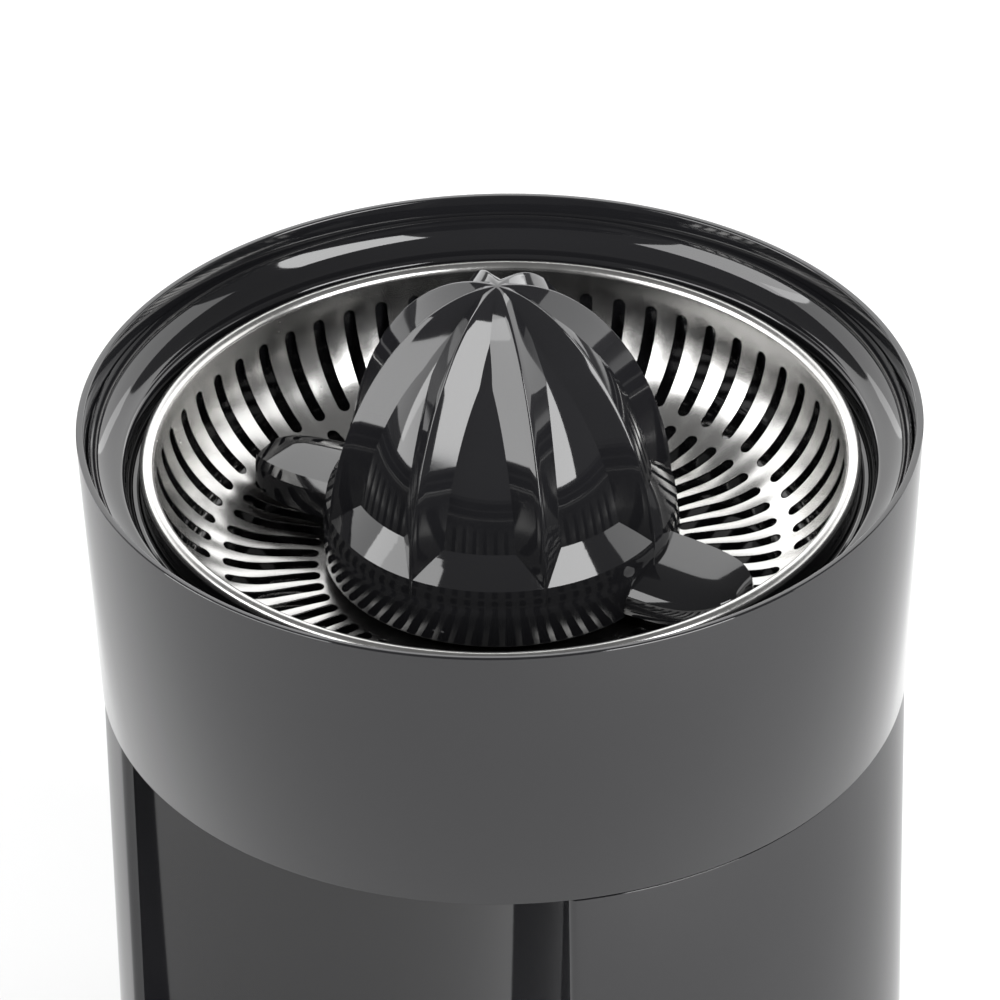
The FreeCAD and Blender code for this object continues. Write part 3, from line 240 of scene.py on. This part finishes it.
# %% [markdown]
# ## Tools for making pieces
# Most of this juicer is turned: a ring, a bowl, a dish and a cone about one upright axis. So the main
# tool spins a profile. The second tool lofts: it extrudes a closed ring of points again and again and
# moves each new ring to its place, which gives clean strips of quads that mirror light without
# ripples. The third joins or cuts two closed meshes. Profiles are written in millimetres, as
# (radius, height above the rim), so that they read like a drawing.


# %% Profiles and spinning
SAME_PLACE = 1e-7
CORNER_ANGLE = math.radians(40)
ROUND_STEPS = 3


def arc(centre_x, centre_z, radius, start, stop, steps):
    """Points of an arc, in millimetres; 0 degrees points outwards and 90 upwards."""
    angles = [math.radians(start + (stop - start) * step / steps) for step in range(steps + 1)]
    return [(centre_x + radius * math.cos(angle), centre_z + radius * math.sin(angle))
            for angle in angles]


def spun(profile, steps):
    """Turns a closed profile of (radius, height above the rim), in millimetres, about the upright axis."""
    mesh = bmesh.new()
    ring = [mesh.verts.new((radius * MM, 0, rim_z + height * MM)) for radius, height in profile]
    edges = [mesh.edges.new(pair) for pair in zip(ring, ring[1:] + ring[:1])]
    bmesh.ops.spin(mesh, geom=ring + edges, cent=(0, 0, 0), axis=(0, 0, 1), angle=2 * math.pi,
                   steps=steps, use_merge=True)
    bmesh.ops.remove_doubles(mesh, verts=mesh.verts, dist=SAME_PLACE)
    bmesh.ops.recalc_face_normals(mesh, faces=mesh.faces)
    return mesh


def rounded(mesh, edges, width, segments):
    """Bevels the given edges; width is in millimetres."""
    bmesh.ops.bevel(mesh, geom=edges, offset=width * MM, offset_type="OFFSET", segments=segments,
                    profile=0.5, affect="EDGES", material=-1, clamp_overlap=True)


def soften(mesh, width):
    """Rounds every edge that is a real corner."""
    corners = [edge for edge in mesh.edges if edge.is_manifold and edge.calc_face_angle() > CORNER_ANGLE]
    rounded(mesh, corners, width, ROUND_STEPS)
    return mesh


# %% Lofting, joining and finishing a piece
def loft(rings):
    """Extrudes a closed ring of points through further rings of the same number of points."""
    mesh = bmesh.new()
    ring = [mesh.verts.new(point) for point in rings[0]]
    edges = [mesh.edges.new(pair) for pair in zip(ring, ring[1:] + ring[:1])]
    for places in rings[1:]:
        made = bmesh.ops.extrude_edge_only(mesh, edges=edges)["geom"]
        fresh = {item for item in made if isinstance(item, bmesh.types.BMVert)}
        ring = [next(edge.other_vert(vert) for edge in vert.link_edges if edge.other_vert(vert) in fresh)
                for vert in ring]
        edges = [mesh.edges.get(pair) for pair in zip(ring, ring[1:] + ring[:1])]
        for vert, place in zip(ring, places):
            vert.co = place
    return mesh


def closed_up(mesh, merge=SAME_PLACE):
    """Merges doubles, caps open ends and turns every face outwards."""
    bmesh.ops.remove_doubles(mesh, verts=mesh.verts, dist=merge)
    open_edges = [edge for edge in mesh.edges if edge.is_boundary]
    if open_edges:
        bmesh.ops.holes_fill(mesh, edges=open_edges)
    bmesh.ops.recalc_face_normals(mesh, faces=mesh.faces)
    return mesh


def as_object(name, mesh):
    """Puts a mesh into the scene and frees it."""
    data = bpy.data.meshes.new(name)
    mesh.to_mesh(data)
    mesh.free()
    item = bpy.data.objects.new(name, data)
    scene.collection.objects.link(item)
    return item


def joined(base, tool, operation):
    """The union or difference of two closed meshes, which are used up."""
    first = as_object("first", base)
    second = as_object("second", tool)
    step = first.modifiers.new("step", "BOOLEAN")
    step.operation = operation
    step.solver = "MANIFOLD"
    step.object = second
    shape = first.evaluated_get(bpy.context.evaluated_depsgraph_get())
    result = bmesh.new()
    result.from_mesh(shape.to_mesh())
    open_edges = sum(not edge.is_manifold for edge in result.edges)
    print("  joined:", operation.lower(), len(first.data.polygons), "->", len(result.faces), "faces,",
          open_edges, "open edges")
    for item in (first, second):
        bpy.data.objects.remove(item)
    bmesh.ops.remove_doubles(result, verts=result.verts, dist=SAME_PLACE)
    bmesh.ops.dissolve_degenerate(result, edges=result.edges, dist=SAME_PLACE)
    return result


def piece(name, mesh, finish, body, replaces, sharp=30):
    """Stores a mesh as a shown piece, smooth but for its sharp edges, and ties it to the frame."""
    limit = math.radians(sharp)
    for face in mesh.faces:
        face.smooth = True
    for edge in mesh.edges:
        edge.smooth = not (edge.is_manifold and edge.calc_face_angle() > limit)
    item = as_object(name, mesh)
    item.data.materials.append(finish)
    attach(item, body)
    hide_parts(*replaces)
    print(f"{name}: {len(item.data.polygons)} faces")
    return item


# %% [markdown]
# ## Collector ring
# The tall lacquered ring is one injection moulding with a slight draft, so it is a little wider at
# the rim than at the seam. It is a plain turned shape: its profile is spun, and the edges of the lip
# are rounded, because a moulded edge always carries a thin bright line of light.

# %% Collector ring
ring_height = (rim_z - seam_z) / MM
ring_profile = [(92.46, 0), (90.9, 0), (90.3, -4), (90.3, -9.5), (88.8, -9.5), (88.8, -11), (89.7, -13),
                (87.3, -ring_height), (89.5, -ring_height)]
piece("collector_ring_moulding", soften(spun(ring_profile, 320), 0.3), piano_black, "collector",
      ["collector_ring"])

# %% [markdown]
# ## Juice bowl
# The bowl hangs inside the ring. What shows of it is the rounded cove below the rim, the shelf and the
# drip trough beside the strainer; underneath are the gutter that leads the juice round to the outlet
# and the chimney that the shaft comes up through. It is spun from one profile with true arcs, then the
# outlet tube and the two lugs for the spout's pin are joined on and the outlet is cut through.

# %% Profile of the bowl
cove = arc(83.6, -4.4, 6.4, 0, -90, 16)
trough = arc(83.5, -12.0, 1.2, 90, 180, 6) + arc(80.2, -14.5, 2.1, 0, -180, 14)
gutter = arc(60.7, -34.0, 16.0, 0, -90, 20)
gutter_under = arc(60.7, -34.0, 18.0, -90, 0, 20)
bowl_profile = (cove + trough + [(78.1, -10.3), (76.7, -10.3)] + gutter
                + [(12.5, -45.0), (12.5, -24.0), (10.5, -24.0), (10.5, -47.0)] + gutter_under
                + [(78.7, -18.4), (84.1, -18.4), (84.1, -12.6), (88.5, -11.0), (88.5, -9.5), (90.0, -9.5)])
print(len(bowl_profile), "points in the bowl's profile")


# %% Blocks and bars that are joined to a turned piece
def block(low, high, rounding):
    """A box between two corners in millimetres, its edges rounded."""
    low, high = Vector(low) * MM, Vector(high) * MM
    mesh = bmesh.new()
    bmesh.ops.create_cube(mesh, size=1.0)
    for vert in mesh.verts:
        vert.co = Vector((low[i] + (vert.co[i] + 0.5) * (high[i] - low[i]) for i in range(3)))
    return soften(mesh, rounding)


def bar(radius, start, end, steps=48):
    """A round bar between two points, in millimetres."""
    start, end = Vector(start) * MM, Vector(end) * MM
    mesh = bmesh.new()
    turn = (end - start).to_track_quat("Z", "Y").to_matrix().to_4x4()
    bmesh.ops.create_cone(mesh, cap_ends=True, segments=steps, radius1=radius * MM, radius2=radius * MM,
                          depth=(end - start).length, matrix=Matrix.Translation((start + end) / 2) @ turn)
    return mesh


# %% Juice bowl
OUTLET_Y = -60.7
OUTLET_RADIUS, TUBE_RADIUS = 6.0, 7.8
LUG_INNER, LUG_OUTER = 11.2, 13.6


def pin_hole():
    """A fresh tool for the pin's hole, which the bowl's lugs and the spout share."""
    return bar(1.55, (-20, -49.1, 159.5), (20, -49.1, 159.5), 32)


bowl = spun(bowl_profile, 320)
bowl = joined(bowl, bar(TUBE_RADIUS, (0, OUTLET_Y, 158.0), (0, OUTLET_Y, 165.4), 64), "UNION")
for left, right in ((-LUG_OUTER, -LUG_INNER), (LUG_INNER, LUG_OUTER)):
    bowl = joined(bowl, block((left, -52.1, 157.0), (right, -46.1, 165.8), 0.4), "UNION")
bowl = joined(bowl, bar(OUTLET_RADIUS, (0, OUTLET_Y, 150.0), (0, OUTLET_Y, 172.0), 64), "DIFFERENCE")
bowl = joined(bowl, pin_hole(), "DIFFERENCE")
piece("juice_bowl_moulding", bowl, piano_black, "collector", ["juice_bowl"])

# %% [markdown]
# ## Spout
# The spout is an open chute that hangs on a pin under the outlet. Pushed down, it lets the juice run;
# tipped up, it holds the last drops back. It is a side outline extruded across its width, with a
# smaller outline cut out of it for the channel and a hole for the pin; its edges are then rounded.


# %% Extruded outlines
def across(outline, half_width):
    """Extrudes a side outline of (y, z), in millimetres, to both sides of the middle plane."""
    mesh = bmesh.new()
    corners = [mesh.verts.new((-half_width * MM, y * MM, z * MM)) for y, z in outline]
    face = mesh.faces.new(corners)
    made = bmesh.ops.extrude_face_region(mesh, geom=[face])["geom"]
    moved = [item for item in made if isinstance(item, bmesh.types.BMVert)]
    bmesh.ops.translate(mesh, verts=moved, vec=(2 * half_width * MM, 0, 0))
    bmesh.ops.recalc_face_normals(mesh, faces=mesh.faces)
    return mesh


# %% Spout
SPOUT_HALF, CHANNEL_HALF = 10.6, 8.6
spout_side = [(-45.6, 162.5), (-52.1, 162.5), (-70.1, 155.0), (-80.1, 146.0), (-78.6, 142.3),
              (-60.1, 147.5), (-45.6, 153.5)]
spout_channel = [(-47.6, 170.5), (-90.1, 170.5), (-90.1, 140.6), (-60.1, 149.5), (-47.6, 155.5)]
chute = joined(soften(across(spout_side, SPOUT_HALF), 0.6), across(spout_channel, CHANNEL_HALF),
               "DIFFERENCE")
chute = joined(chute, pin_hole(), "DIFFERENCE")
piece("spout_chute", chute, piano_black, "spout", ["spout"])

# %% [markdown]
# ## Strainer
# The strainer is deep drawn from thin steel sheet and then pierced: a flat floor, a wide corner
# radius, an upright wall that ends in a curled rim, and a collar in the middle. Two rows of sixty
# narrow slots run outwards like rays. The dish is spun first, with a very slight wave between the
# slots because piercing pulls the sheet. The rays could be drawn in a material, but holes that light
# falls through have to be real, so every slot is cut with a curved tool that follows the sheet.

# %% Strainer profile and dish
SLOTS = 60
PHASE = math.radians(3.5)
SHEET = 0.35
WAVE = 0.10
ROWS_START, ROWS_TOP = 41, -13.5
corner_x, corner_z, corner_round = 51.7, -13.2, 24.0
floor_top = corner_z - corner_round
floor_under = floor_top - SHEET
collar, collar_top = 13.3, -22.0
floor_radii = [46, 40, 30, 20]
dish_profile = (arc(77.4, -10.7, 1.7, 0, 180, 16)
                + arc(corner_x, corner_z, corner_round, 0, -90, 40)
                + [(radius, floor_top) for radius in floor_radii]
                + [(collar, floor_top), (collar, collar_top), (collar - SHEET, collar_top),
                   (collar - SHEET, floor_under)]
                + [(radius, floor_under) for radius in reversed(floor_radii)]
                + arc(corner_x, corner_z, corner_round + SHEET, -90, 0, 40)
                + arc(77.4, -10.7, 1.7 - SHEET, 180, 0, 12))
dish = spun(dish_profile, 480)
for vert in dish.verts:
    radius = vert.co.xy.length / MM
    height = (vert.co.z - rim_z) / MM
    inside_rows = max(0.0, min(1.0, (radius - ROWS_START) / 3, (ROWS_TOP - height) / 2))
    wave = math.cos(SLOTS * (math.atan2(vert.co.y, vert.co.x) - PHASE))
    rise = WAVE * inside_rows * (1 - wave) / 2
    away = Vector((corner_x - min(radius, 76), corner_z - height)) if radius > corner_x else Vector((0, 1))
    away.normalize()
    flat = vert.co.xy.normalized()
    vert.co += Vector((flat.x * away.x, flat.y * away.x, away.y)) * rise * MM
print(len(dish.verts), "points in the dish")


# %% Slot tools
SLOT_HALF = 1.5
END_STEPS, RUN_STEPS = 6, 14
REACH_ABOVE, REACH_BELOW = 1.6, 1.8


def slot_tools(start, end):
    """Round-ended tools that follow the sheet; start and end are distances along it, in millimetres."""
    stations = []
    for step in range(END_STEPS + 1):
        angle = math.pi / 2 * step / END_STEPS
        stations.append((start + SLOT_HALF * (1 - math.cos(angle)), SLOT_HALF * max(math.sin(angle), 0.02)))
    straight = end - start - 2 * SLOT_HALF
    stations += [(start + SLOT_HALF + straight * step / RUN_STEPS, SLOT_HALF)
                 for step in range(1, RUN_STEPS)]
    stations += [(start + end - along, width) for along, width in reversed(stations[:END_STEPS + 1])]
    rings = []
    for along, width in stations:
        angle = max(along, 0) / corner_round
        ring = []
        for side, depth in ((-width, -REACH_ABOVE), (width, -REACH_ABOVE), (width, REACH_BELOW),
                            (-width, REACH_BELOW)):
            reach = corner_round + depth
            radius = corner_x + min(along, 0) + reach * math.sin(angle)
            height = corner_z - reach * math.cos(angle)
            ring.append(Vector((radius * MM, side * MM, rim_z + height * MM)))
        rings.append(ring)
    tool = closed_up(loft(rings))
    bmesh.ops.rotate(tool, verts=tool.verts, cent=(0, 0, 0), matrix=Matrix.Rotation(PHASE, 3, "Z"))
    bmesh.ops.spin(tool, geom=tool.verts[:] + tool.edges[:] + tool.faces[:], cent=(0, 0, 0),
                   axis=(0, 0, 1), angle=2 * math.pi * (SLOTS - 1) / SLOTS, steps=SLOTS - 1,
                   use_duplicate=True)
    bmesh.ops.recalc_face_normals(tool, faces=tool.faces)
    return tool


# Each row's start and end along the sheet, measured from where the floor begins to bend up.
outer_row = (math.asin(12.6 / corner_round) * corner_round, math.acos(2.0 / corner_round) * corner_round)
inner_row = (-11.2, math.asin(10.0 / corner_round) * corner_round)
sheet = joined(dish, slot_tools(*outer_row), "DIFFERENCE")
sheet = joined(sheet, slot_tools(*inner_row), "DIFFERENCE")

# %% [markdown]
# ## Broken slot edges
# A pierced sheet is tumbled or pressed flat after the punch, so that the upper edges of its slots do
# not cut the fruit or the fingers. The small slope left on each edge catches light as a bright line.
# The whole sheet could be bevelled, but only the edges on top are seen, so only those are.


# %% Broken slot edges
EDGE_BREAK = 0.14
SLOT_CORNER = math.radians(63)
TOP_TOLERANCE = 0.15


def on_top(vert):
    """Whether a point of the slots lies on the upper face of the sheet."""
    radius, height = vert.co.xy.length / MM, (vert.co.z - rim_z) / MM
    from_corner = math.hypot(max(radius - corner_x, 0), height - corner_z)
    return height < ROWS_TOP and from_corner < corner_round + TOP_TOLERANCE


slot_edges = [edge for edge in sheet.edges
              if edge.calc_face_angle() > SLOT_CORNER and all(on_top(vert) for vert in edge.verts)]
rounded(sheet, slot_edges, EDGE_BREAK, 1)
print(len(slot_edges), "slot edges broken;", sum(len(face.verts) - 2 for face in sheet.faces), "triangles")
piece("strainer_dish", sheet, pressed_steel, "strainer", ["strainer_basket"], sharp=35)

# %% [markdown]
# ## Reamer cone
# The cone is one moulding: eight sharp ribs rise from the skirt to the tip, with hollows between them
# that get narrower towards the tip until neighbouring ribs meet in a groove. It could be sculpted, or
# built from one rib turned eight times, but then the seams between the ribs would show in the gloss.
# So it is lofted through many closed sections, one per height, and each section is built from the
# ridge, its two flanks and the hollow. Heights are above the rim, in millimetres.

# %% Sections of the cone
RIBS = 8
CONE_BASE = -23.2
CONE_HEIGHT = 56.7
CONE_RADIUS = 38.9
HOLLOW_TOP, HOLLOW_BOTTOM, HOLLOW_FADE = -14.3, -20.3, -25.2
HOLLOW_DEPTH, DEEPER_AT_TIP, STEP_DEPTH = 5.15, 1.1, 0.5
SKIRT_TOP = -25.0
RIDGE_ROUNDING = 0.35
FLANK, FLANK_AT_TIP, TIP_PART = 0.909, 0.459, 0.75
RIDGE_STEPS, FLANK_STEPS, FLOOR_STEPS = 3, 5, 5


def hollow_depth(height):
    """Depth of the hollows below the ridge: full above, ending in a slope, and fading in the skirt."""
    if height > HOLLOW_TOP:
        return HOLLOW_DEPTH + DEEPER_AT_TIP * ((height - CONE_BASE) / CONE_HEIGHT) ** 3
    if height > HOLLOW_BOTTOM:
        risen = (height - HOLLOW_BOTTOM) / (HOLLOW_TOP - HOLLOW_BOTTOM)
        return STEP_DEPTH + risen * (HOLLOW_DEPTH - STEP_DEPTH)
    return STEP_DEPTH * max(height - HOLLOW_FADE, 0) / (HOLLOW_BOTTOM - HOLLOW_FADE)


def half_section(radius, depth, flank):
    """From a ridge to the middle of the hollow beside it: (distance, angle) pairs.

    The ridge is a small arc, the flank falls away with its slope until it meets the hollow's floor or
    the flank of the next rib, and the floor is an arc about the axis.
    """
    middle = math.pi / RIBS
    slope = math.atan(flank)
    rounding = min(RIDGE_ROUNDING, 0.1 * radius)
    peak = radius + rounding * (1 / math.sin(slope) - 1)
    centre = peak - rounding / math.sin(slope)
    points = []
    for step in range(RIDGE_STEPS + 1):
        angle = (math.pi / 2 - slope) * step / RIDGE_STEPS
        points.append((centre + rounding * math.cos(angle), rounding * math.sin(angle)))
    start = peak - points[-1][0]
    groove = math.tan(middle) * peak / (flank + math.tan(middle))
    floor = max(peak - depth, 0)
    spread = peak ** 2 - (1 + flank ** 2) * (peak ** 2 - floor ** 2)
    meet = (peak - math.sqrt(spread)) / (1 + flank ** 2) if spread > 0 else groove
    meet = max(min(meet, groove), start + 0.001 * radius)
    for step in range(1, FLANK_STEPS + 1):
        down = start + (meet - start) * step / FLANK_STEPS
        points.append((peak - down, flank * down))
    result = [(math.hypot(x, y), math.atan2(y, x)) for x, y in points]
    last_radius, last_angle = result[-1]
    for step in range(1, FLOOR_STEPS + 1):
        result.append((last_radius, last_angle + (middle - last_angle) * step / FLOOR_STEPS))
    return result


def section(height, radius):
    """A whole section of the cone: the ribs, each with two mirrored halves; round in the skirt."""
    station = max((height - CONE_BASE) / CONE_HEIGHT, 0)
    near_tip = max(station - TIP_PART, 0) / (1 - TIP_PART)
    half = half_section(radius, max(hollow_depth(height), 0.02), FLANK - (FLANK - FLANK_AT_TIP) * near_tip)
    if height < SKIRT_TOP:
        half = [(radius, angle) for _, angle in half]
    ring = []
    for rib in range(RIBS):
        ridge = rib * 2 * math.pi / RIBS
        ring += [(distance, ridge - angle) for distance, angle in half[:0:-1]]
        ring += [(distance, ridge + angle) for distance, angle in half[:-1]]
    return [Vector((distance * math.cos(angle) * MM, distance * math.sin(angle) * MM,
                    rim_z + height * MM)) for distance, angle in ring]


# %% Cone
POWER = 1.74
TIP_MERGE = 4e-6
LEVELS = 64
heights = {CONE_BASE + CONE_HEIGHT * math.sin(math.radians(step * 90 / LEVELS)) ** (2 / POWER)
           for step in range(5, LEVELS)}
heights |= {CONE_BASE, -22.3, -21.3, HOLLOW_BOTTOM, -18.8, -17.3, -15.8, HOLLOW_TOP}
skirt = [(-34.2, 38.9), (-34.1, 39.2), (-33.8, 39.3), (-26.7, 39.3), (-25.6, 39.15), (-25.2, 38.95),
         (-24.3, 38.9)]
sections = [section(height, radius) for height, radius in skirt]
for height in sorted(heights):
    station = (height - CONE_BASE) / CONE_HEIGHT
    sections.append(section(height, CONE_RADIUS * math.sqrt(1 - station ** POWER)))
sections.append([Vector((0, 0, tip_z))] * len(sections[0]))
cone = closed_up(loft(sections), TIP_MERGE)
print(len(cone.verts), "points in the cone")

# %% [markdown]
# ## Wings
# Two wings at the skirt sweep the pulp round and keep the slots open. Each has a steep back, a crease
# along the top of it and a broad face that rolls down in front, and ends in a rounded tip. A wing
# could be a subdivided block, but the crease would wander, so it is lofted outwards from inside the
# skirt through sections that shrink to the tip. The second wing is the first one turned half round.


# %% Wings
WING_START, WING_REACH = 36.0, 26.0
WING_FOOT = -32.8
WING_HALF, BACK_HALF, WING_TALL = 11.6, 11.8, 8.6
WING_STEPS = 20


def wing_ring(distance):
    """Section of a wing at a distance from the axis: a steep back, a crease and a rounded top.

    The half width, the back and the height each shrink by their own power of the share of the reach; the
    higher the power, the squarer the wing ends.
    """
    share = (distance - WING_START) / WING_REACH
    half = WING_HALF * math.sqrt(max(1 - share ** 3.0, 0)) + 0.05
    back = BACK_HALF * math.sqrt(max(1 - share ** 4.0, 0)) + 0.05
    tall = WING_TALL * math.sqrt(max(1 - share ** 9, 0)) * (1 - 0.15 * share) + 0.05
    foot = WING_FOOT + 1.3 * share ** 5
    points = [(back, 0), (back, 0.4 * tall), (0.98 * back, 0.75 * tall), (0.86 * back, tall),
              (0.4 * back, 1.01 * tall), (-0.02 * half, tall)]
    for step in range(1, WING_STEPS + 1):
        turn = math.pi / 2 * step / WING_STEPS
        points.append((-0.05 * half - 0.95 * half * math.sin(turn) ** 0.85, tall * math.cos(turn) ** 0.85))
    return [Vector((distance * MM, y * MM, rim_z + (foot + z) * MM)) for y, z in points]


def wing():
    """One wing, lofted from inside the skirt to its rounded end."""
    stops = [36.5, 39.0, 41.5, 44.0, 46.5, 49.0, 51.5, 53.5, 55.5, 57.0, 58.3, 59.4, 60.3, 61.0, 61.4,
             61.65, 61.8]
    return closed_up(loft([wing_ring(stop) for stop in stops]))


turned_wing = wing()
bmesh.ops.rotate(turned_wing, verts=turned_wing.verts, cent=(0, 0, 0),
                 matrix=Matrix.Rotation(math.pi, 3, "Z"))
cone = joined(joined(cone, wing(), "UNION"), turned_wing, "UNION")

# %% [markdown]
# ## Inside of the cone
# The moulding is hollow, with a socket in the middle for the hub insert that sits on the shaft. The
# room is turned from its own profile and cut out last, so that the wings are closed off inside too.

# %% Inside of the cone
room = spun([(0, -35.0), (37.1, -35.0), (37.1, -25.2), (30.4, -15.1), (23.5, 6.0), (9.8, 6.0), (9.8, -17.5),
             (7.6, -17.5), (7.6, 3.0), (0, 3.0)], 96)
piece("reamer_moulding", joined(cone, room, "DIFFERENCE"), piano_black, "reamer", ["reamer_cone"],
      sharp=24)

# %% [markdown]
# ## Return spring
# A coil of spring wire holds the shaft up and is squeezed when the cone is pressed. A ring of wire is
# spun and lifted at the same time, which draws a helix; a curve with a bevel would do as well, but
# it would have to be made a mesh.

# %% Return spring
spring_low, spring_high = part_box("return_spring")
spring_length = spring_high.z - spring_low.z
WIRE = 0.55 * MM
TURNS, TURN_STEPS, WIRE_SIDES = 6, 48, 14
wire_start = Matrix.Translation((spring_high.x - WIRE, 0, spring_low.z + WIRE))
spring = bmesh.new()
bmesh.ops.create_circle(spring, segments=WIRE_SIDES, radius=WIRE,
                        matrix=wire_start @ Matrix.Rotation(math.pi / 2, 4, "X"))
rise = (spring_length - 2 * WIRE) / (TURNS * TURN_STEPS)
bmesh.ops.spin(spring, geom=spring.verts[:] + spring.edges[:], cent=(0, 0, 0), axis=(0, 0, 1),
               dvec=(0, 0, rise), angle=2 * math.pi * TURNS, steps=TURNS * TURN_STEPS)
return_spring = piece("return_coil", closed_up(spring), turned_steel, "base", ["return_spring"])
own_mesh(return_spring)

# %% [markdown]
# ## Body wall
# The body is one moulding, a round wall that turns inwards in front to make room for the glass. It
# could be a tube with a round piece cut away, but the two corners of the niche are rounded. So its
# plan outline is drawn once and offset, and lofted up the outside and down the inside, which keeps
# the wall's thickness and the corners even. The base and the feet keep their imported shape.


# %% Outline with a niche
BODY_RADIUS = 89.2
NICHE_Y, NICHE_RADIUS = -89.8, 59.8
CORNER = 1.6
BODY_STEPS, CORNER_STEPS, NICHE_STEPS = 240, 10, 96


def niche_outline(inset):
    """Plan outline in millimetres: round behind, hollow in front, with rounded corners between."""
    outer = BODY_RADIUS - inset
    hollow = NICHE_RADIUS + inset
    bend = max(CORNER - inset, 0.2)
    near, far = outer - bend, hollow + bend
    y = (near ** 2 - far ** 2 + NICHE_Y ** 2) / (2 * NICHE_Y)
    x = math.sqrt(near ** 2 - y ** 2)
    start = math.atan2(y, x)
    niche_start = math.atan2(y - NICHE_Y, x)
    points = []
    for step in range(BODY_STEPS + 1):
        angle = start + (math.pi - 2 * start) * step / BODY_STEPS
        points.append((outer * math.cos(angle), outer * math.sin(angle)))
    left = []
    for step in range(1, CORNER_STEPS):
        angle = math.pi - start + (math.pi + start - niche_start) * step / CORNER_STEPS
        left.append((-x + bend * math.cos(angle), y + bend * math.sin(angle)))
    points += left
    for step in range(NICHE_STEPS + 1):
        angle = math.pi - niche_start + (2 * niche_start - math.pi) * step / NICHE_STEPS
        points.append((hollow * math.cos(angle), NICHE_Y + hollow * math.sin(angle)))
    return points + [(-px, py) for px, py in reversed(left)]


# %% Body wall
WALL = 2.5
GLAND_HEIGHT, GLAND_RADIUS = 24, 5.3
low, high = shell_low.z / MM, shell_high.z / MM
beside_gland = (17, 31)
wall_steps = ([(0.35, low), (0.1, low + 0.1), (0.0, low + 0.35)] + [(0.0, height) for height in beside_gland]
              + [(0.0, high - 0.35), (0.1, high - 0.1), (0.35, high), (WALL, high)]
              + [(WALL, height) for height in reversed(beside_gland)] + [(WALL, low)])
rings = [[Vector((x * MM, y * MM, height * MM)) for x, y in niche_outline(inset)]
         for inset, height in wall_steps + wall_steps[:1]]
gland_hole = bar(GLAND_RADIUS, (0, 70, GLAND_HEIGHT), (0, 100, GLAND_HEIGHT))
piece("body_wall", joined(closed_up(loft(rings)), gland_hole, "DIFFERENCE"), piano_black, "base",
      ["body_shell"])

# %% [markdown]
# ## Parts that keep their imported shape
# Shafts, gears, bearings, motor, board, base and feet already have their right shape, so they stay,
# and only their finish is made here. Each finish says how the part is made: turned and ground steel
# has rings of grain, die-cast zinc is dull and pitted, a rotor is a stack of thin sheets, sintered
# bronze is full of pores, and acetal gears are waxy.

# %% Finishes for the inner parts
finishes = {
    "gloss_black": piano_black,
    "stainless": pressed_steel,
    "matte_black": moulded_black,
    "rubber": soft_rubber,
    "steel": turned_steel,
    "grey_plastic": grained("glass_filled_grey", (0.23, 0.24, 0.25), 0.48, grain=700, spread=0.1, bump=0.03,
                            tint=0.12),
    "white_plastic": grained("waxy_acetal", (0.80, 0.79, 0.74), 0.34, grain=260, spread=0.06, bump=0.006,
                             tint=0.03),
    "zinc": grained("die_cast_zinc", (0.47, 0.48, 0.50), 0.46, metallic=1.0, grain=900, spread=0.12,
                    bump=0.03, tint=0.15),
    "plated_steel": grained("zinc_plated_steel", (0.60, 0.60, 0.57), 0.30, metallic=1.0, grain=180,
                            spread=0.09, bump=0.008, tint=0.12),
    "lamination": grained("stacked_sheets", (0.27, 0.27, 0.28), 0.45, metallic=0.9, grain=60, spread=0.12,
                          stretch=(1, 1, 40), bump=0.06, tint=0.35),
    "magnet": grained("sintered_ferrite", (0.09, 0.09, 0.095), 0.62, grain=1200, spread=0.12, bump=0.05,
                      tint=0.2),
    "carbon": grained("pressed_carbon", (0.045, 0.045, 0.048), 0.55, grain=1500, spread=0.15, bump=0.03,
                      tint=0.25),
    "copper": grained("turned_copper", (0.78, 0.40, 0.26), 0.25, metallic=1.0, grain=300, spread=0.08,
                      stretch=(1, 1, 14), bump=0.008, tint=0.12),
    "bronze": grained("porous_bronze", (0.58, 0.42, 0.22), 0.42, metallic=1.0, grain=1400, spread=0.14,
                      bump=0.04, tint=0.2),
    "board_green": grained("solder_mask", (0.02, 0.16, 0.07), 0.30, grain=500, spread=0.07, bump=0.01,
                           coat=0.4, tint=0.15),
    "capacitor_sleeve": grained("shrunk_sleeve", (0.02, 0.035, 0.12), 0.26, grain=200, spread=0.06,
                                bump=0.03, tint=0.1),
}
slot_of = {part["node"]: part["material_slot"] for part in frame["record"]["subparts"]}
for node, item in frame["nodes"].items():
    for place in item.material_slots:
        place.material = finishes[slot_of[node]]
print(len(finishes), "finishes on", len(frame["nodes"]), "parts")

# %% [markdown]
# ## Size
# The box round the imported parts and the box round the finished scene are written side by side, to show
# that no new piece reaches outside the imported shape.

# %% Sizes and the end
scene_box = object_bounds()
for label, box in (("packed", cad_box), ("scene", scene_box)):
    print(label, [[round(value * 1000, 2) for value in corner] for corner in box])
